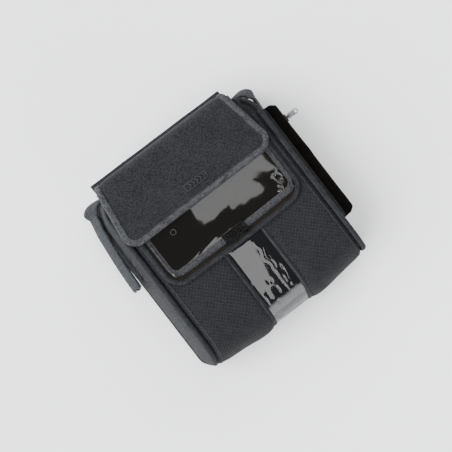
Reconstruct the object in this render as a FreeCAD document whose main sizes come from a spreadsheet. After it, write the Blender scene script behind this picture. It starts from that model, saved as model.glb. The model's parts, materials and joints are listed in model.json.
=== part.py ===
import FreeCAD, Part
import math
import os
import re

import Sketcher

# Soft motorcycle tank bag, lying on its back as it lies on a fuel tank.
# Frame: origin on the base face, +Z out of the front, +Y towards the flap hinge,
# +X towards the zipped side pocket. Millimetres.

DIMENSIONS = [
    # body of the bag
    ("front_half", 110, "half width of the front, at the piped edge"),
    ("depth", 80, "base face to front face"),
    ("flare", 8, "degrees that the side walls lean outwards towards the base"),
    ("top_face", 112, "Y of the top wall's outer face"),
    ("corner_radius", 30, "rounding between top wall and side walls, in plan"),
    ("roll_start", 94, "distance below the origin where the front starts to roll over"),
    ("roll_radius", 38, "radius of the roll from the front to the bottom"),
    ("skin", 3, "thickness of the padded fabric"),
    ("lining", 1, "thickness of lining fabric"),
    ("board", 2, "thickness of the stiffening board"),
    ("board_margin", 12, "board's distance from the edge of the base"),
    ("piping_radius", 1.6, "radius of the piping on the front edges"),
    ("base_piping", 2, "width of the binding round the base"),
    # front opening and the clear strip below it
    ("opening_half", 86, "half width of the front opening"),
    ("opening_top", 102, "Y of the opening's upper edge"),
    ("strip_half", 25, "half width of the clear strip"),
    ("vinyl", 1, "thickness of clear vinyl"),
    ("strip_binding", 4, "width of the binding along the clear strip"),
    ("strip_proud", 0.2, "how far that binding stands out of the front"),
    # window flap
    ("flap_gap", 0.5, "clearance under each flap"),
    ("window_left", 100, "window flap's reach to the left"),
    ("window_right", 95, "window flap's reach to the right"),
    ("window_bottom", 29, "window flap's reach below the origin"),
    ("window_end", 108, "Y of the window flap's hinge end"),
    ("window_corner", 22, "radius of the window flap's lower corners"),
    ("window_binding", 8, "width of the binding round the window flap"),
    ("binding_thick", 2.8, "thickness of that binding"),
    ("backing", 0.5, "thickness of the map pocket's backing"),
    ("frame_thick", 1.6, "thickness of the mesh frame round the pane"),
    ("pane_left", 86, "pane's reach to the left"),
    ("pane_right", 84, "pane's reach to the right"),
    ("pane_bottom", 10, "pane's reach below the origin"),
    ("pane_corner", 6, "radius of the pane's corners"),
    ("pane_thick", 0.8, "thickness of the pane"),
    ("tape_wide", 10, "width of the tape at the window flap's hinge end"),
    ("patch_long", 32, "hook patch along X"),
    ("patch_wide", 14, "hook patch along Y"),
    ("patch_thick", 1.6, "hook patch thickness"),
    ("patch_shift", 2, "hook patch centre, left of the origin"),
    ("patch_drop", 15, "hook patch centre, below the origin"),
    ("stud_left", 59, "press stud centre, left of the origin"),
    ("stud_up", 28, "press stud centre, above the origin"),
    ("stud_radius", 4, "press stud's outer radius"),
    ("stud_bore", 2.2, "radius of the stud's recess"),
    ("stud_thick", 0.7, "press stud's height"),
    # main flap
    ("flap_floor", 83.8, "Z of the main flap's underside"),
    ("flap_foam", 3, "thickness of the flap's foam"),
    ("flap_shell", 2, "thickness of the flap's outer fabric"),
    ("flap_end", 107, "Y of the main flap's hinge end"),
    ("flap_end_left", 104, "flap's reach to the left at its hinge end"),
    ("flap_end_right", 88, "flap's reach to the right at its hinge end"),
    ("flap_front", 38, "Y of the flap's free edge"),
    ("flap_front_left", 114, "flap's reach to the left at its free edge"),
    ("flap_front_right", 102, "flap's reach to the right at its free edge"),
    ("flap_corner", 18, "radius of the flap's free corners"),
    ("flap_binding", 9, "width of the binding round the main flap"),
    ("binding_proud", 0.2, "how far that binding stands proud, above and below"),
    ("badge_long", 31, "badge along X"),
    ("badge_wide", 9, "badge along Y"),
    ("badge_thick", 1.2, "badge thickness"),
    ("badge_shift", 3, "badge centre, left of the origin"),
    ("badge_up", 59, "badge centre, above the origin"),
    ("hinge_strip", 1.2, "thickness of the strip that the flaps are sewn to"),
    ("hinge_strip_low", 57, "Z of that strip's lower edge"),
    # webbing
    ("webbing", 2, "thickness of the webbing"),
    ("webbing_low", 20, "Z of the webbing's lower edge"),
    ("webbing_high", 56, "Z of the webbing's upper edge"),
    ("webbing_out", 121, "X of the webbing's outer face beside the walls"),
    ("webbing_bend", 8, "outer radius of the webbing's bend at the corners"),
    ("right_tail", 82, "Y where the right webbing ends at the pocket"),
    ("left_tail", 98, "Y where the left webbing starts to swing"),
    ("strap_gap", 1.2, "room for the swinging strap to turn"),
    ("strap_lean", 6.5, "degrees that the loose strap stands off the wall"),
    ("strap_long", 97, "length of the loose strap"),
    # side pocket and its zip
    ("pocket_out", 131, "X of the side pocket's outer face"),
    ("pocket_low", 16, "Z of the pocket's lower face"),
    ("pocket_high", 64, "Z of the pocket's upper face"),
    ("pocket_top", 80, "Y of the pocket's upper end"),
    ("pocket_bottom", 82, "distance of its lower end below the origin"),
    ("pocket_skin", 2.5, "thickness of the pocket's fabric"),
    ("pocket_end", 10, "rounding of the pocket's ends"),
    ("pocket_edge", 2, "rounding of the pocket's long edges"),
    ("zip_centre", 52, "Z of the zip's line"),
    ("zip_slot", 10, "width of the slot that the zip closes"),
    ("zip_top", 70, "Y of the zip's upper end"),
    ("zip_bottom", 72, "distance of its lower end below the origin"),
    ("coil_wide", 3, "width of the zip's coil"),
    ("coil_thick", 1.8, "thickness of the coil"),
    ("tape_thick", 1, "thickness of the zip tapes"),
    ("slider_up", 55, "Y of the slider, with the zip closed"),
    ("slider_long", 10, "slider along the zip"),
    ("slider_wide", 9, "slider across the zip"),
    ("slider_thick", 3.2, "slider's height over the zip"),
    ("slider_gap", 0.3, "clearance between slider and zip"),
    ("bridge_reach", 7, "distance of the pull's pivot from the pocket's face"),
    ("bridge_radius", 0.8, "radius of the pull's pivot bar"),
    ("bridge_wide", 6, "length of the pivot bar"),
    ("pull_long", 13.5, "pivot to the pull's tip"),
    ("pull_half", 3.2, "half width of the pull"),
    ("pull_thick", 1.4, "thickness of the pull"),
    ("pull_bore", 1.15, "radius of the pull's eye"),
    ("pull_hole", 2.0, "radius of the hole at the pull's tip"),
]

NAMES = {alias for alias, _, _ in DIMENSIONS}
WORD = re.compile(r"[a-z][a-z_]*")

# sketch plane: the axes that its first and second coordinates and its normal lie on
PLANES = {"XY": (0, 1, 2), "XZ": (0, 2, 1), "YZ": (1, 2, 0)}
# a sketch on XZ faces -Y, so its offset and its pads run the other way
FACING = {"XY": 1, "XZ": -1, "YZ": 1}

document = FreeCAD.newDocument("tank_bag")
sheet = document.addObject("Spreadsheet::Sheet", "Dims")
for row, (alias, value, meaning) in enumerate(DIMENSIONS, start=1):
    sheet.set(f"A{row}", alias)
    sheet.set(f"B{row}", str(value))
    sheet.set(f"C{row}", meaning)
    sheet.setAlias(f"B{row}", alias)
document.recompute()

parts = {}


# ---------------------------------------------------------------- helpers

def number(expression):
    """Value of an expression over the sheet's dimensions."""
    value = sheet.evalExpression(expression)
    return float(getattr(value, "Value", value))


def bound(expression):
    """The same expression, as another object of the document refers to it."""
    return WORD.sub(lambda word: "Dims." + word[0] if word[0] in NAMES else word[0], expression)


def bind(thing, settings):
    """Binds each named size of an object to its expression."""
    for name, expression in settings.items():
        thing.setExpression(name, bound(expression))


def sketch_on(body, name, plane, offset):
    """Empty sketch parallel to one of the body's own planes, at an offset along the third axis."""
    sketch = body.newObject("Sketcher::SketchObject", name)
    for feature in body.Origin.OriginFeatures:
        if feature.Role == plane + "_Plane":
            sketch.AttachmentSupport = [(feature, "")]
    sketch.MapMode = "FlatFace"
    signed = offset if FACING[plane] > 0 else f"-({offset})"
    bind(sketch, {"AttachmentOffset.Base.z": signed})
    return sketch


def pin(sketch, direction, place, expression):
    """Holds a point of the sketch at a distance from the origin, along one direction."""
    constraint = Sketcher.Constraint(direction, -1, 1, place[0], place[1], number(expression))
    index = sketch.addConstraint(constraint)
    bind(sketch, {f"Constraints[{index}]": expression})


def draw_outline(sketch, outline):
    """Closed outline of straight edges through the given corners."""
    corners = [FreeCAD.Vector(number(first), number(second), 0) for first, second in outline]
    count = len(corners)
    for index in range(count):
        edge = Part.LineSegment(corners[index], corners[(index + 1) % count])
        sketch.addGeometry(edge)
    for index in range(count):
        following = (index + 1) % count
        sketch.addConstraint(Sketcher.Constraint("Coincident", index, 2, following, 1))
    for index, (first, second) in enumerate(outline):
        pin(sketch, "DistanceX", (index, 1), first)
        pin(sketch, "DistanceY", (index, 1), second)


def edges_at(shape, plane, corner):
    """Names of the straight edges that run along the plane's normal through one corner."""
    first_axis, second_axis, normal_axis = PLANES[plane]
    place = (number(corner[0]), number(corner[1]))
    found = []
    for index, edge in enumerate(shape.Edges, start=1):
        if not isinstance(edge.Curve, Part.Line):
            continue
        middle = edge.CenterOfMass
        along = abs(edge.Curve.Direction[normal_axis]) > 0.999
        offset = math.hypot(middle[first_axis] - place[0], middle[second_axis] - place[1])
        if along and offset < 0.01:
            found.append(f"Edge{index}")
    return found


def round_edges(body, plane, corners, radius):
    """Rounds the edges that run along the plane's normal through the given corners."""
    document.recompute()
    base = body.Tip
    names = [name for corner in corners for name in edges_at(base.Shape, plane, corner)]
    fillet = body.newObject("PartDesign::Fillet", f"{body.Name}_round")
    fillet.Base = (base, names)
    fillet.Radius = number(radius)
    bind(fillet, {"Radius": radius})


def prism(name, plane, outline, low, high):
    """Body padded from a straight-edged outline, between two heights along the plane's normal."""
    body = document.addObject("PartDesign::Body", name)
    body.Label = name
    start = low if FACING[plane] > 0 else high
    sketch = sketch_on(body, f"{name}_outline", plane, start)
    draw_outline(sketch, outline)
    pad = body.newObject("PartDesign::Pad", f"{name}_pad")
    pad.Profile = sketch
    bind(pad, {"Length": f"({high}) - ({low})"})
    sketch.Visibility = False
    parts[name] = body
    return body


def cut_away(body, plane, outline, low, high):
    """Pocket through the body, between two heights along the plane's normal."""
    document.recompute()
    before = body.Shape.Volume
    count = len(body.Group)
    sketch = sketch_on(body, f"{body.Name}_cut{count}", plane, f"(({low}) + ({high})) / 2")
    draw_outline(sketch, outline)
    pocket = body.newObject("PartDesign::Pocket", f"{body.Name}_pocket{count}")
    pocket.Profile = sketch
    pocket.SideType = "Symmetric"
    bind(pocket, {"Length": f"({high}) - ({low})"})
    sketch.Visibility = False
    document.recompute()
    if not body.Shape.Volume < before - 0.01:
        raise RuntimeError(f"{body.Label}: a pocket cut nothing")


def rectangle(left, right, bottom, top):
    """Corners of a rectangle, counter-clockwise."""
    return [(left, bottom), (right, bottom), (right, top), (left, top)]


def sided(outline, side):
    """The outline as it is on the right (side 1), or mirrored in X for the left (side -1)."""
    if side > 0:
        return outline
    return [(f"-({first})", second) for first, second in reversed(outline)]


def span(side, near, far):
    """Low and high X of something between two distances from the middle, on one side."""
    if side > 0:
        return near, far
    return f"-({far})", f"-({near})"


def lean(body, side):
    """Places a body built at X = 0, Z = 0 on the front edge, in the plane of a flared wall."""
    turn = FreeCAD.Rotation(FreeCAD.Vector(0, 1, 0), -side * number("flare"))
    body.Placement = FreeCAD.Placement(FreeCAD.Vector(), turn)
    sign = "" if side > 0 else "-"
    angle = "360 - flare" if side > 0 else "flare"
    bind(body, {"Placement.Base.x": f"{sign}front_half",
                "Placement.Base.z": "depth",
                "Placement.Rotation.Angle": angle})


def wall_face(height):
    """X of the right wall's outer face at a height."""
    return f"front_half + (depth - ({height})) * tan(flare)"


SIDES = (("left", -1), ("right", 1))
WALL_LENGTH = "(depth - skin - skin * sin(flare)) / cos(flare)"


# ---------------------------------------------------------------- base

def make_base():
    """Base fabric, stiffening board, lining and the binding round the edge."""
    wide = wall_face("0")
    bottom = "-(roll_start + roll_radius)"
    outline = rectangle(f"-({wide})", wide, bottom, "top_face")
    base = prism("base_panel", "XY", outline, "0", "skin")
    round_edges(base, "XY", outline[2:], "corner_radius")

    low = "skin"
    for name, thick in (("base_board", "board"), ("base_lining", "lining")):
        high = f"{low} + {thick}"
        inset = rectangle(f"-({wide} - board_margin)", f"{wide} - board_margin",
                          f"{bottom} + board_margin", "top_face - board_margin")
        layer = prism(name, "XY", inset, low, high)
        round_edges(layer, "XY", inset[2:], "corner_radius - board_margin / 2")
        low = high

    outer = rectangle(f"-({wide} + base_piping)", f"{wide} + base_piping",
                      f"{bottom} - base_piping", "top_face + base_piping")
    ring = prism("base_piping", "XY", outer, "0.4 * base_piping", "2.4 * base_piping")
    cut_away(ring, "XY", outline, "0", "3 * base_piping")
    round_edges(ring, "XY", outline[2:], "corner_radius")
    round_edges(ring, "XY", outer[2:], "corner_radius + base_piping")


# ---------------------------------------------------------------- walls

def make_side_wall(label, side):
    """Flat padded wall in its own leaning plane: local Z = 0 is the front edge."""
    bottom = "-(roll_start + roll_radius)"
    outline = [(bottom, f"-({WALL_LENGTH})"), ("top_face - corner_radius", f"-({WALL_LENGTH})"),
               ("top_face - corner_radius", "0"), (bottom, "0")]
    low, high = span(side, "-skin", "0")
    wall = prism(f"{label}_wall", "YZ", outline, low, high)
    round_edges(wall, "YZ", [outline[3]], "roll_radius")
    lean(wall, side)


def draw_quarter_ring(sketch, centre, side):
    """Quarter of a ring between side wall and top wall, seen in plan."""
    x, y = number(centre[0]), number(centre[1])
    start, end = (0, math.pi / 2) if side > 0 else (math.pi / 2, math.pi)
    middle = FreeCAD.Vector(x, y, 0)
    normal = FreeCAD.Vector(0, 0, 1)
    flat, upright = (1, 2) if side > 0 else (2, 1)
    for index, radius in enumerate(("corner_radius", "corner_radius - skin")):
        circle = Part.Circle(middle, normal, number(radius))
        sketch.addGeometry(Part.ArcOfCircle(circle, start, end))
        pin(sketch, "DistanceX", (index, 3), centre[0])
        pin(sketch, "DistanceY", (index, 3), centre[1])
        limit = sketch.addConstraint(Sketcher.Constraint("Radius", index, number(radius)))
        bind(sketch, {f"Constraints[{limit}]": radius})
        sketch.addConstraint(Sketcher.Constraint("Horizontal", index, flat, index, 3))
        sketch.addConstraint(Sketcher.Constraint("Vertical", index, upright, index, 3))
    for index, end_of_arc in enumerate((1, 2), start=2):
        outer = sketch.Geometry[0].StartPoint if end_of_arc == 1 else sketch.Geometry[0].EndPoint
        inner = sketch.Geometry[1].StartPoint if end_of_arc == 1 else sketch.Geometry[1].EndPoint
        sketch.addGeometry(Part.LineSegment(outer, inner))
        sketch.addConstraint(Sketcher.Constraint("Coincident", index, 1, 0, end_of_arc))
        sketch.addConstraint(Sketcher.Constraint("Coincident", index, 2, 1, end_of_arc))


def make_corner(label, side):
    """Rounded corner between a leaning side wall and the upright top wall, as a loft."""
    name = f"corner_{label}"
    body = document.addObject("PartDesign::Body", name)
    body.Label = name
    sign = "" if side > 0 else "-"
    rings = []
    for level, height in (("base", "skin"), ("front", "depth")):
        centre = (f"{sign}({wall_face(height)} - corner_radius)", "top_face - corner_radius")
        ring = sketch_on(body, f"{name}_{level}", "XY", height)
        draw_quarter_ring(ring, centre, side)
        ring.Visibility = False
        rings.append(ring)
    document.recompute()
    loft = body.newObject("PartDesign::AdditiveLoft", f"{name}_loft")
    loft.Profile = rings[0]
    loft.Sections = [rings[1]]
    loft.Ruled = True
    parts[name] = body


def make_top_wall():
    """Upright wall between the two rounded corners; it widens towards the base with them."""
    edge_low = f"{wall_face('skin')} - corner_radius"
    edge_high = f"{wall_face('depth')} - corner_radius"
    outline = [(f"-({edge_low})", "skin"), (edge_low, "skin"),
               (edge_high, "depth"), (f"-({edge_high})", "depth")]
    prism("top_wall", "XZ", outline, "top_face - skin", "top_face")


# ---------------------------------------------------------------- front

def rolled_outline(thick, sunk):
    """Side view of a sheet that lies on the front and rolls over to the bottom wall."""
    far = f"-(roll_start + roll_radius - ({sunk}))"
    near = f"{far} + ({thick})"
    face = f"depth - ({sunk})"
    return [("0", face), (far, face), (far, "skin"), (near, "skin"),
            (near, f"{face} - ({thick})"), ("0", f"{face} - ({thick})")]


def make_rolled(name, low, high, thick, sunk):
    """Sheet along the front between two X positions, rolled over the bottom edge."""
    outline = rolled_outline(thick, sunk)
    body = prism(name, "YZ", outline, low, high)
    round_edges(body, "YZ", [outline[1]], f"roll_radius - ({sunk})")
    round_edges(body, "YZ", [outline[4]], f"roll_radius - ({sunk}) - ({thick})")
    return body


def make_front_panel(label, side):
    """Padded front panel from the clear strip to the side wall, cut to the wall's lean."""
    low, high = span(side, "strip_half + strip_binding", wall_face("0"))
    panel = make_rolled(f"front_panel_{label}", low, high, "skin", "0")
    inner = "front_half - skin / cos(flare)"
    margin = "skin"
    waste = [(f"{inner} - {margin} * tan(flare)", f"depth + {margin}"),
             (f"{inner} + (depth + {margin}) * tan(flare)", f"-{margin}"),
             (f"{wall_face('0')} + {margin}", f"-{margin}"),
             (f"{wall_face('0')} + {margin}", f"depth + {margin}")]
    reach = "2 * (roll_start + roll_radius)"
    cut_away(panel, "XZ", sided(waste, side), f"-({reach})", reach)


def make_clear_strip():
    """Clear vinyl between the front panels, with a narrow binding along each side."""
    sunk = "(skin - vinyl) / 2"
    make_rolled("window_strip", "-strip_half", "strip_half", "vinyl", sunk)
    thick = "skin + strip_proud"
    for label, side in SIDES:
        low, high = span(side, "strip_half", "strip_half + strip_binding")
        make_rolled(f"strip_binding_{label}", low, high, thick, "-strip_proud")


def make_opening_facing():
    """Stiff facing round the front opening, three-sided, under the flaps."""
    side = "front_half - skin / cos(flare)"
    outline = rectangle(f"-({side})", side, "0", "top_face - skin")
    facing = prism("opening_facing", "XY", outline, "depth - skin", "depth")
    round_edges(facing, "XY", outline[2:], "corner_radius - skin")
    opening = rectangle("-opening_half", "opening_half", "-skin", "opening_top")
    cut_away(facing, "XY", opening, "depth - 2 * skin", "depth + skin")


def make_front_piping(label, side):
    """Cord piping on the front edge of a side wall: along the front, over the roll, to the base."""
    name = f"front_piping_{label}"
    body = document.addObject("PartDesign::Body", name)
    body.Label = name
    stand = "0.75 * piping_radius"
    edge = number("roll_start")
    centre = FreeCAD.Vector(-edge, -number("roll_radius"), 0)
    radius = number(f"roll_radius + {stand}")
    high = number(stand)
    foot = f"-({WALL_LENGTH} - 2 * base_piping)"
    start = number("top_face - corner_radius")

    path = sketch_on(body, f"{name}_path", "YZ", "0")
    path.addGeometry(Part.LineSegment(FreeCAD.Vector(start, high, 0), FreeCAD.Vector(-edge, high, 0)))
    bend = Part.Circle(centre, FreeCAD.Vector(0, 0, 1), radius)
    path.addGeometry(Part.ArcOfCircle(bend, math.pi / 2, math.pi))
    drop_top = FreeCAD.Vector(-edge - radius, centre.y, 0)
    path.addGeometry(Part.LineSegment(drop_top, FreeCAD.Vector(drop_top.x, number(foot), 0)))
    path.addConstraint(Sketcher.Constraint("Tangent", 0, 2, 1, 1))
    path.addConstraint(Sketcher.Constraint("Tangent", 1, 2, 2, 1))
    path.addConstraint(Sketcher.Constraint("Horizontal", 0))
    path.addConstraint(Sketcher.Constraint("Vertical", 2))
    pin(path, "DistanceX", (0, 1), "top_face - corner_radius")
    pin(path, "DistanceY", (0, 1), stand)
    pin(path, "DistanceX", (1, 3), "-roll_start")
    pin(path, "DistanceY", (1, 3), "-roll_radius")
    pin(path, "DistanceY", (2, 2), foot)

    profile = sketch_on(body, f"{name}_section", "XZ", "top_face - corner_radius")
    place = FreeCAD.Vector(side * high, high, 0)
    profile.addGeometry(Part.Circle(place, FreeCAD.Vector(0, 0, 1), number("piping_radius")))
    pin(profile, "DistanceX", (0, 3), stand if side > 0 else f"-{stand}")
    pin(profile, "DistanceY", (0, 3), stand)
    limit = profile.addConstraint(Sketcher.Constraint("Radius", 0, number("piping_radius")))
    bind(profile, {f"Constraints[{limit}]": "piping_radius"})
    document.recompute()

    pipe = body.newObject("PartDesign::AdditivePipe", f"{name}_pipe")
    pipe.Profile = profile
    pipe.Spine = (path, ["Edge1", "Edge2", "Edge3"])
    path.Visibility = False
    profile.Visibility = False
    lean(body, side)
    parts[name] = body


# ---------------------------------------------------------------- window flap

WINDOW_FLOOR = "depth + flap_gap"


def window_outline(inset):
    """The window flap's outline, drawn in from its edge by an inset, open ended at the hinge."""
    return rectangle(f"-(window_left - ({inset}))", f"window_right - ({inset})",
                     f"-(window_bottom - ({inset}))", "window_end")


def make_window_flap():
    """Clear map window in a mesh frame with a bound edge, over a dark backing."""
    above = "window_end + skin"
    outer = window_outline("0")
    inner = window_outline("window_binding")
    binding_top = f"{WINDOW_FLOOR} + binding_thick"
    binding = prism("window_binding", "XY", outer, WINDOW_FLOOR, binding_top)
    round_edges(binding, "XY", outer[:2], "window_corner")
    hollow = inner[:2] + [(inner[1][0], above), (inner[0][0], above)]
    cut_away(binding, "XY", hollow, "depth - skin", "depth + 3 * skin")
    round_edges(binding, "XY", hollow[:2], "window_corner - window_binding")

    backing_top = f"{WINDOW_FLOOR} + backing"
    backing = prism("window_backing", "XY", inner, WINDOW_FLOOR, backing_top)
    round_edges(backing, "XY", inner[:2], "window_corner - window_binding")

    frame_top = f"{backing_top} + frame_thick"
    frame = prism("window_frame", "XY", inner, backing_top, frame_top)
    round_edges(frame, "XY", inner[:2], "window_corner - window_binding")
    pane_hole = rectangle("-pane_left", "pane_right", "-pane_bottom", above)
    cut_away(frame, "XY", pane_hole, "depth - skin", "depth + 3 * skin")
    round_edges(frame, "XY", pane_hole[:2], "pane_corner")

    tape_start = "window_end - tape_wide"
    pane_outline = rectangle("-pane_left", "pane_right", "-pane_bottom", tape_start)
    pane = prism("window_pane", "XY", pane_outline, f"{frame_top} - pane_thick", frame_top)
    round_edges(pane, "XY", pane_outline[:2], "pane_corner")

    tape = rectangle("-pane_left", "pane_right", tape_start, "window_end")
    prism("window_hinge_tape", "XY", tape, backing_top, frame_top)

    patch = rectangle("-patch_shift - patch_long / 2", "-patch_shift + patch_long / 2",
                      "-patch_drop - patch_wide / 2", "-patch_drop + patch_wide / 2")
    prism("hook_patch", "XY", patch, binding_top, f"{binding_top} + patch_thick")


def make_press_stud():
    """Ring-shaped press stud on the backing, seen through the pane."""
    rims = {}
    for kind, radius in (("rim", "stud_radius"), ("recess", "stud_bore")):
        rims[kind] = document.addObject("Part::Cylinder", f"stud_{kind}")
        bind(rims[kind], {"Radius": radius, "Height": "stud_thick",
                          "Placement.Base.x": "-stud_left",
                          "Placement.Base.y": "stud_up",
                          "Placement.Base.z": f"{WINDOW_FLOOR} + backing"})
    stud = document.addObject("Part::Cut", "press_stud")
    stud.Label = "press_stud"
    stud.Base = rims["rim"]
    stud.Tool = rims["recess"]
    parts["press_stud"] = stud


# ---------------------------------------------------------------- main flap

def flap_outline(inset):
    """The main flap's outline, wider at its free edge, drawn in from its edge by an inset."""
    return [(f"-(flap_front_left - ({inset}))", f"flap_front + ({inset})"),
            (f"flap_front_right - ({inset})", f"flap_front + ({inset})"),
            (f"flap_end_right - ({inset})", "flap_end"),
            (f"-(flap_end_left - ({inset}))", "flap_end")]


def make_main_flap():
    """Padded flap: lining, foam and outer fabric inside a binding on three sides."""
    inner = flap_outline("flap_binding")
    low = "flap_floor"
    for name, thick in (("main_flap_lining", "lining"), ("main_flap_foam", "flap_foam"),
                        ("main_flap_panel", "flap_shell")):
        high = f"{low} + {thick}"
        layer = prism(name, "XY", inner, low, high)
        round_edges(layer, "XY", inner[:2], "flap_corner - flap_binding")
        low = high

    outer = flap_outline("0")
    binding = prism("main_flap_binding", "XY", outer,
                    "flap_floor - binding_proud", f"{low} + binding_proud")
    round_edges(binding, "XY", outer[:2], "flap_corner")
    hollow = flap_outline("flap_binding")
    cut_away(binding, "XY", hollow, "flap_floor - skin", f"{low} + skin")
    round_edges(binding, "XY", hollow[:2], "flap_corner - flap_binding")

    badge = rectangle("-badge_shift - badge_long / 2", "-badge_shift + badge_long / 2",
                      "badge_up - badge_wide / 2", "badge_up + badge_wide / 2")
    prism("badge", "XY", badge, low, f"{low} + badge_thick")


def make_hinge_strip():
    """Strip on the top wall that both flaps are sewn to."""
    outline = rectangle("-flap_end_left", "flap_end_right", "top_face", "top_face + hinge_strip")
    prism("flap_hinge_strip", "XY", outline, "hinge_strip_low", "depth - skin - flap_gap")


# ---------------------------------------------------------------- webbing

def make_webbing():
    """Webbing standing on edge: along the top wall and looped round both corners."""
    flat_end = "front_half - corner_radius"
    back = "top_face + webbing"
    sewn = rectangle(f"-({flat_end})", flat_end, "top_face", back)
    prism("webbing_top", "XY", sewn, "webbing_low", "webbing_high")

    inside = "webbing_out - webbing"
    for label, side in SIDES:
        outline = [(flat_end, "top_face"), (inside, "top_face"), (inside, f"{label}_tail"),
                   ("webbing_out", f"{label}_tail"), ("webbing_out", back), (flat_end, back)]
        corners = sided(outline, side)
        loop = prism(f"webbing_loop_{label}", "XY", corners, "webbing_low", "webbing_high")
        round_edges(loop, "XY", sided([outline[1]], side), "webbing_bend - webbing")
        round_edges(loop, "XY", sided([outline[4]], side), "webbing_bend")


def make_loose_strap():
    """Free tail of the webbing on the left, which swings about the end of the left loop."""
    middle = "webbing_out - webbing / 2"
    outline = rectangle("-webbing / 2", "webbing / 2", "-strap_long - strap_gap", "-strap_gap")
    strap = prism("side_strap_left", "XY", outline, "webbing_low", "webbing_high")
    turn = FreeCAD.Rotation(FreeCAD.Vector(0, 0, 1), -number("strap_lean"))
    strap.Placement = FreeCAD.Placement(FreeCAD.Vector(), turn)
    bind(strap, {"Placement.Base.x": f"-({middle})",
                 "Placement.Base.y": "left_tail",
                 "Placement.Rotation.Angle": "360 - strap_lean"})


# ---------------------------------------------------------------- side pocket

def make_pocket():
    """Wedge-shaped pocket shell against the leaning right wall, slotted for the zip."""
    bottom = "-pocket_bottom"
    fit = "flap_gap / 3"
    outline = [(f"{wall_face('pocket_low')} + {fit}", "pocket_low"),
               ("pocket_out", "pocket_low"), ("pocket_out", "pocket_high"),
               (f"{wall_face('pocket_high')} + {fit}", "pocket_high")]
    shell = prism("side_pocket_shell", "XZ", outline, bottom, "pocket_top")
    ends = [("pocket_out", bottom), ("pocket_out", "pocket_top")]
    round_edges(shell, "XY", ends, "pocket_end")
    round_edges(shell, "XZ", outline[1:3], "pocket_edge")

    low = "pocket_low + pocket_skin"
    high = "pocket_high - pocket_skin"
    hollow = [(f"{wall_face(low)} - pocket_skin", low), ("pocket_out - pocket_skin", low),
              ("pocket_out - pocket_skin", high), (f"{wall_face(high)} - pocket_skin", high)]
    cut_away(shell, "XZ", hollow, f"{bottom} + pocket_end", "pocket_top - pocket_end")
    slot = rectangle("-zip_bottom", "zip_top", "zip_centre - zip_slot / 2",
                     "zip_centre + zip_slot / 2")
    cut_away(shell, "YZ", slot, "pocket_out - 2 * pocket_skin", "pocket_out + pocket_skin")


def make_zip():
    """Tapes, coil and end stops that close the pocket's slot."""
    face = "pocket_out"
    back = "pocket_out - pocket_skin + 0.2"
    tapes = (("upper", "zip_centre + coil_wide / 2", "zip_centre + zip_slot / 2"),
             ("lower", "zip_centre - zip_slot / 2", "zip_centre - coil_wide / 2"))
    for label, low, high in tapes:
        outline = rectangle(back, f"{back} + tape_thick", low, high)
        prism(f"zip_tape_{label}", "XZ", outline, "-zip_bottom", "zip_top")
    stop = "3"
    coil = rectangle(f"{face} - 0.2 - coil_thick", f"{face} - 0.2",
                     "zip_centre - coil_wide / 2", "zip_centre + coil_wide / 2")
    prism("zip_coil", "XZ", coil, f"-zip_bottom + {stop}", f"zip_top - {stop}")

    ends = []
    for label, low in (("top", f"zip_top - {stop}"), ("bottom", "-zip_bottom")):
        end = document.addObject("Part::Box", f"zip_stop_{label}")
        bind(end, {"Length": "coil_thick", "Width": stop, "Height": "coil_wide",
                   "Placement.Base.x": f"{face} - 0.2 - coil_thick",
                   "Placement.Base.y": low,
                   "Placement.Base.z": "zip_centre - coil_wide / 2"})
        ends.append(end)
    pair = document.addObject("Part::Compound", "zip_stops")
    pair.Label = "zip_stops"
    pair.Links = ends
    parts["zip_stops"] = pair


def make_slider():
    """Zip slider with a staple-shaped bridge that carries the pull's pivot bar."""
    back = "pocket_out + slider_gap"
    front = f"{back} + slider_thick"
    pivot = "pocket_out + bridge_reach"
    plate = document.addObject("Part::Box", "slider_plate")
    bind(plate, {"Length": "slider_thick", "Width": "slider_long", "Height": "slider_wide",
                 "Placement.Base.x": back,
                 "Placement.Base.y": "slider_up - slider_long / 2",
                 "Placement.Base.z": "zip_centre - slider_wide / 2"})
    pieces = [plate]
    reach = f"{pivot} + bridge_radius - ({front})"
    for label, low in (("upper", "zip_centre + bridge_wide / 2"),
                       ("lower", "zip_centre - bridge_wide / 2 - bridge_radius")):
        post = document.addObject("Part::Box", f"slider_post_{label}")
        bind(post, {"Length": f"{reach} + 1", "Width": "2 * bridge_radius",
                    "Height": "bridge_radius",
                    "Placement.Base.x": f"{front} - 1",
                    "Placement.Base.y": "slider_up - bridge_radius",
                    "Placement.Base.z": low})
        pieces.append(post)
    bar = document.addObject("Part::Cylinder", "slider_bar")
    bind(bar, {"Radius": "bridge_radius", "Height": "bridge_wide + bridge_radius",
               "Placement.Base.x": pivot, "Placement.Base.y": "slider_up",
               "Placement.Base.z": "zip_centre - (bridge_wide + bridge_radius) / 2"})
    pieces.append(bar)
    slider = document.addObject("Part::MultiFuse", "zip_slider")
    slider.Label = "zip_slider"
    slider.Shapes = pieces
    parts["zip_slider"] = slider


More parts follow.
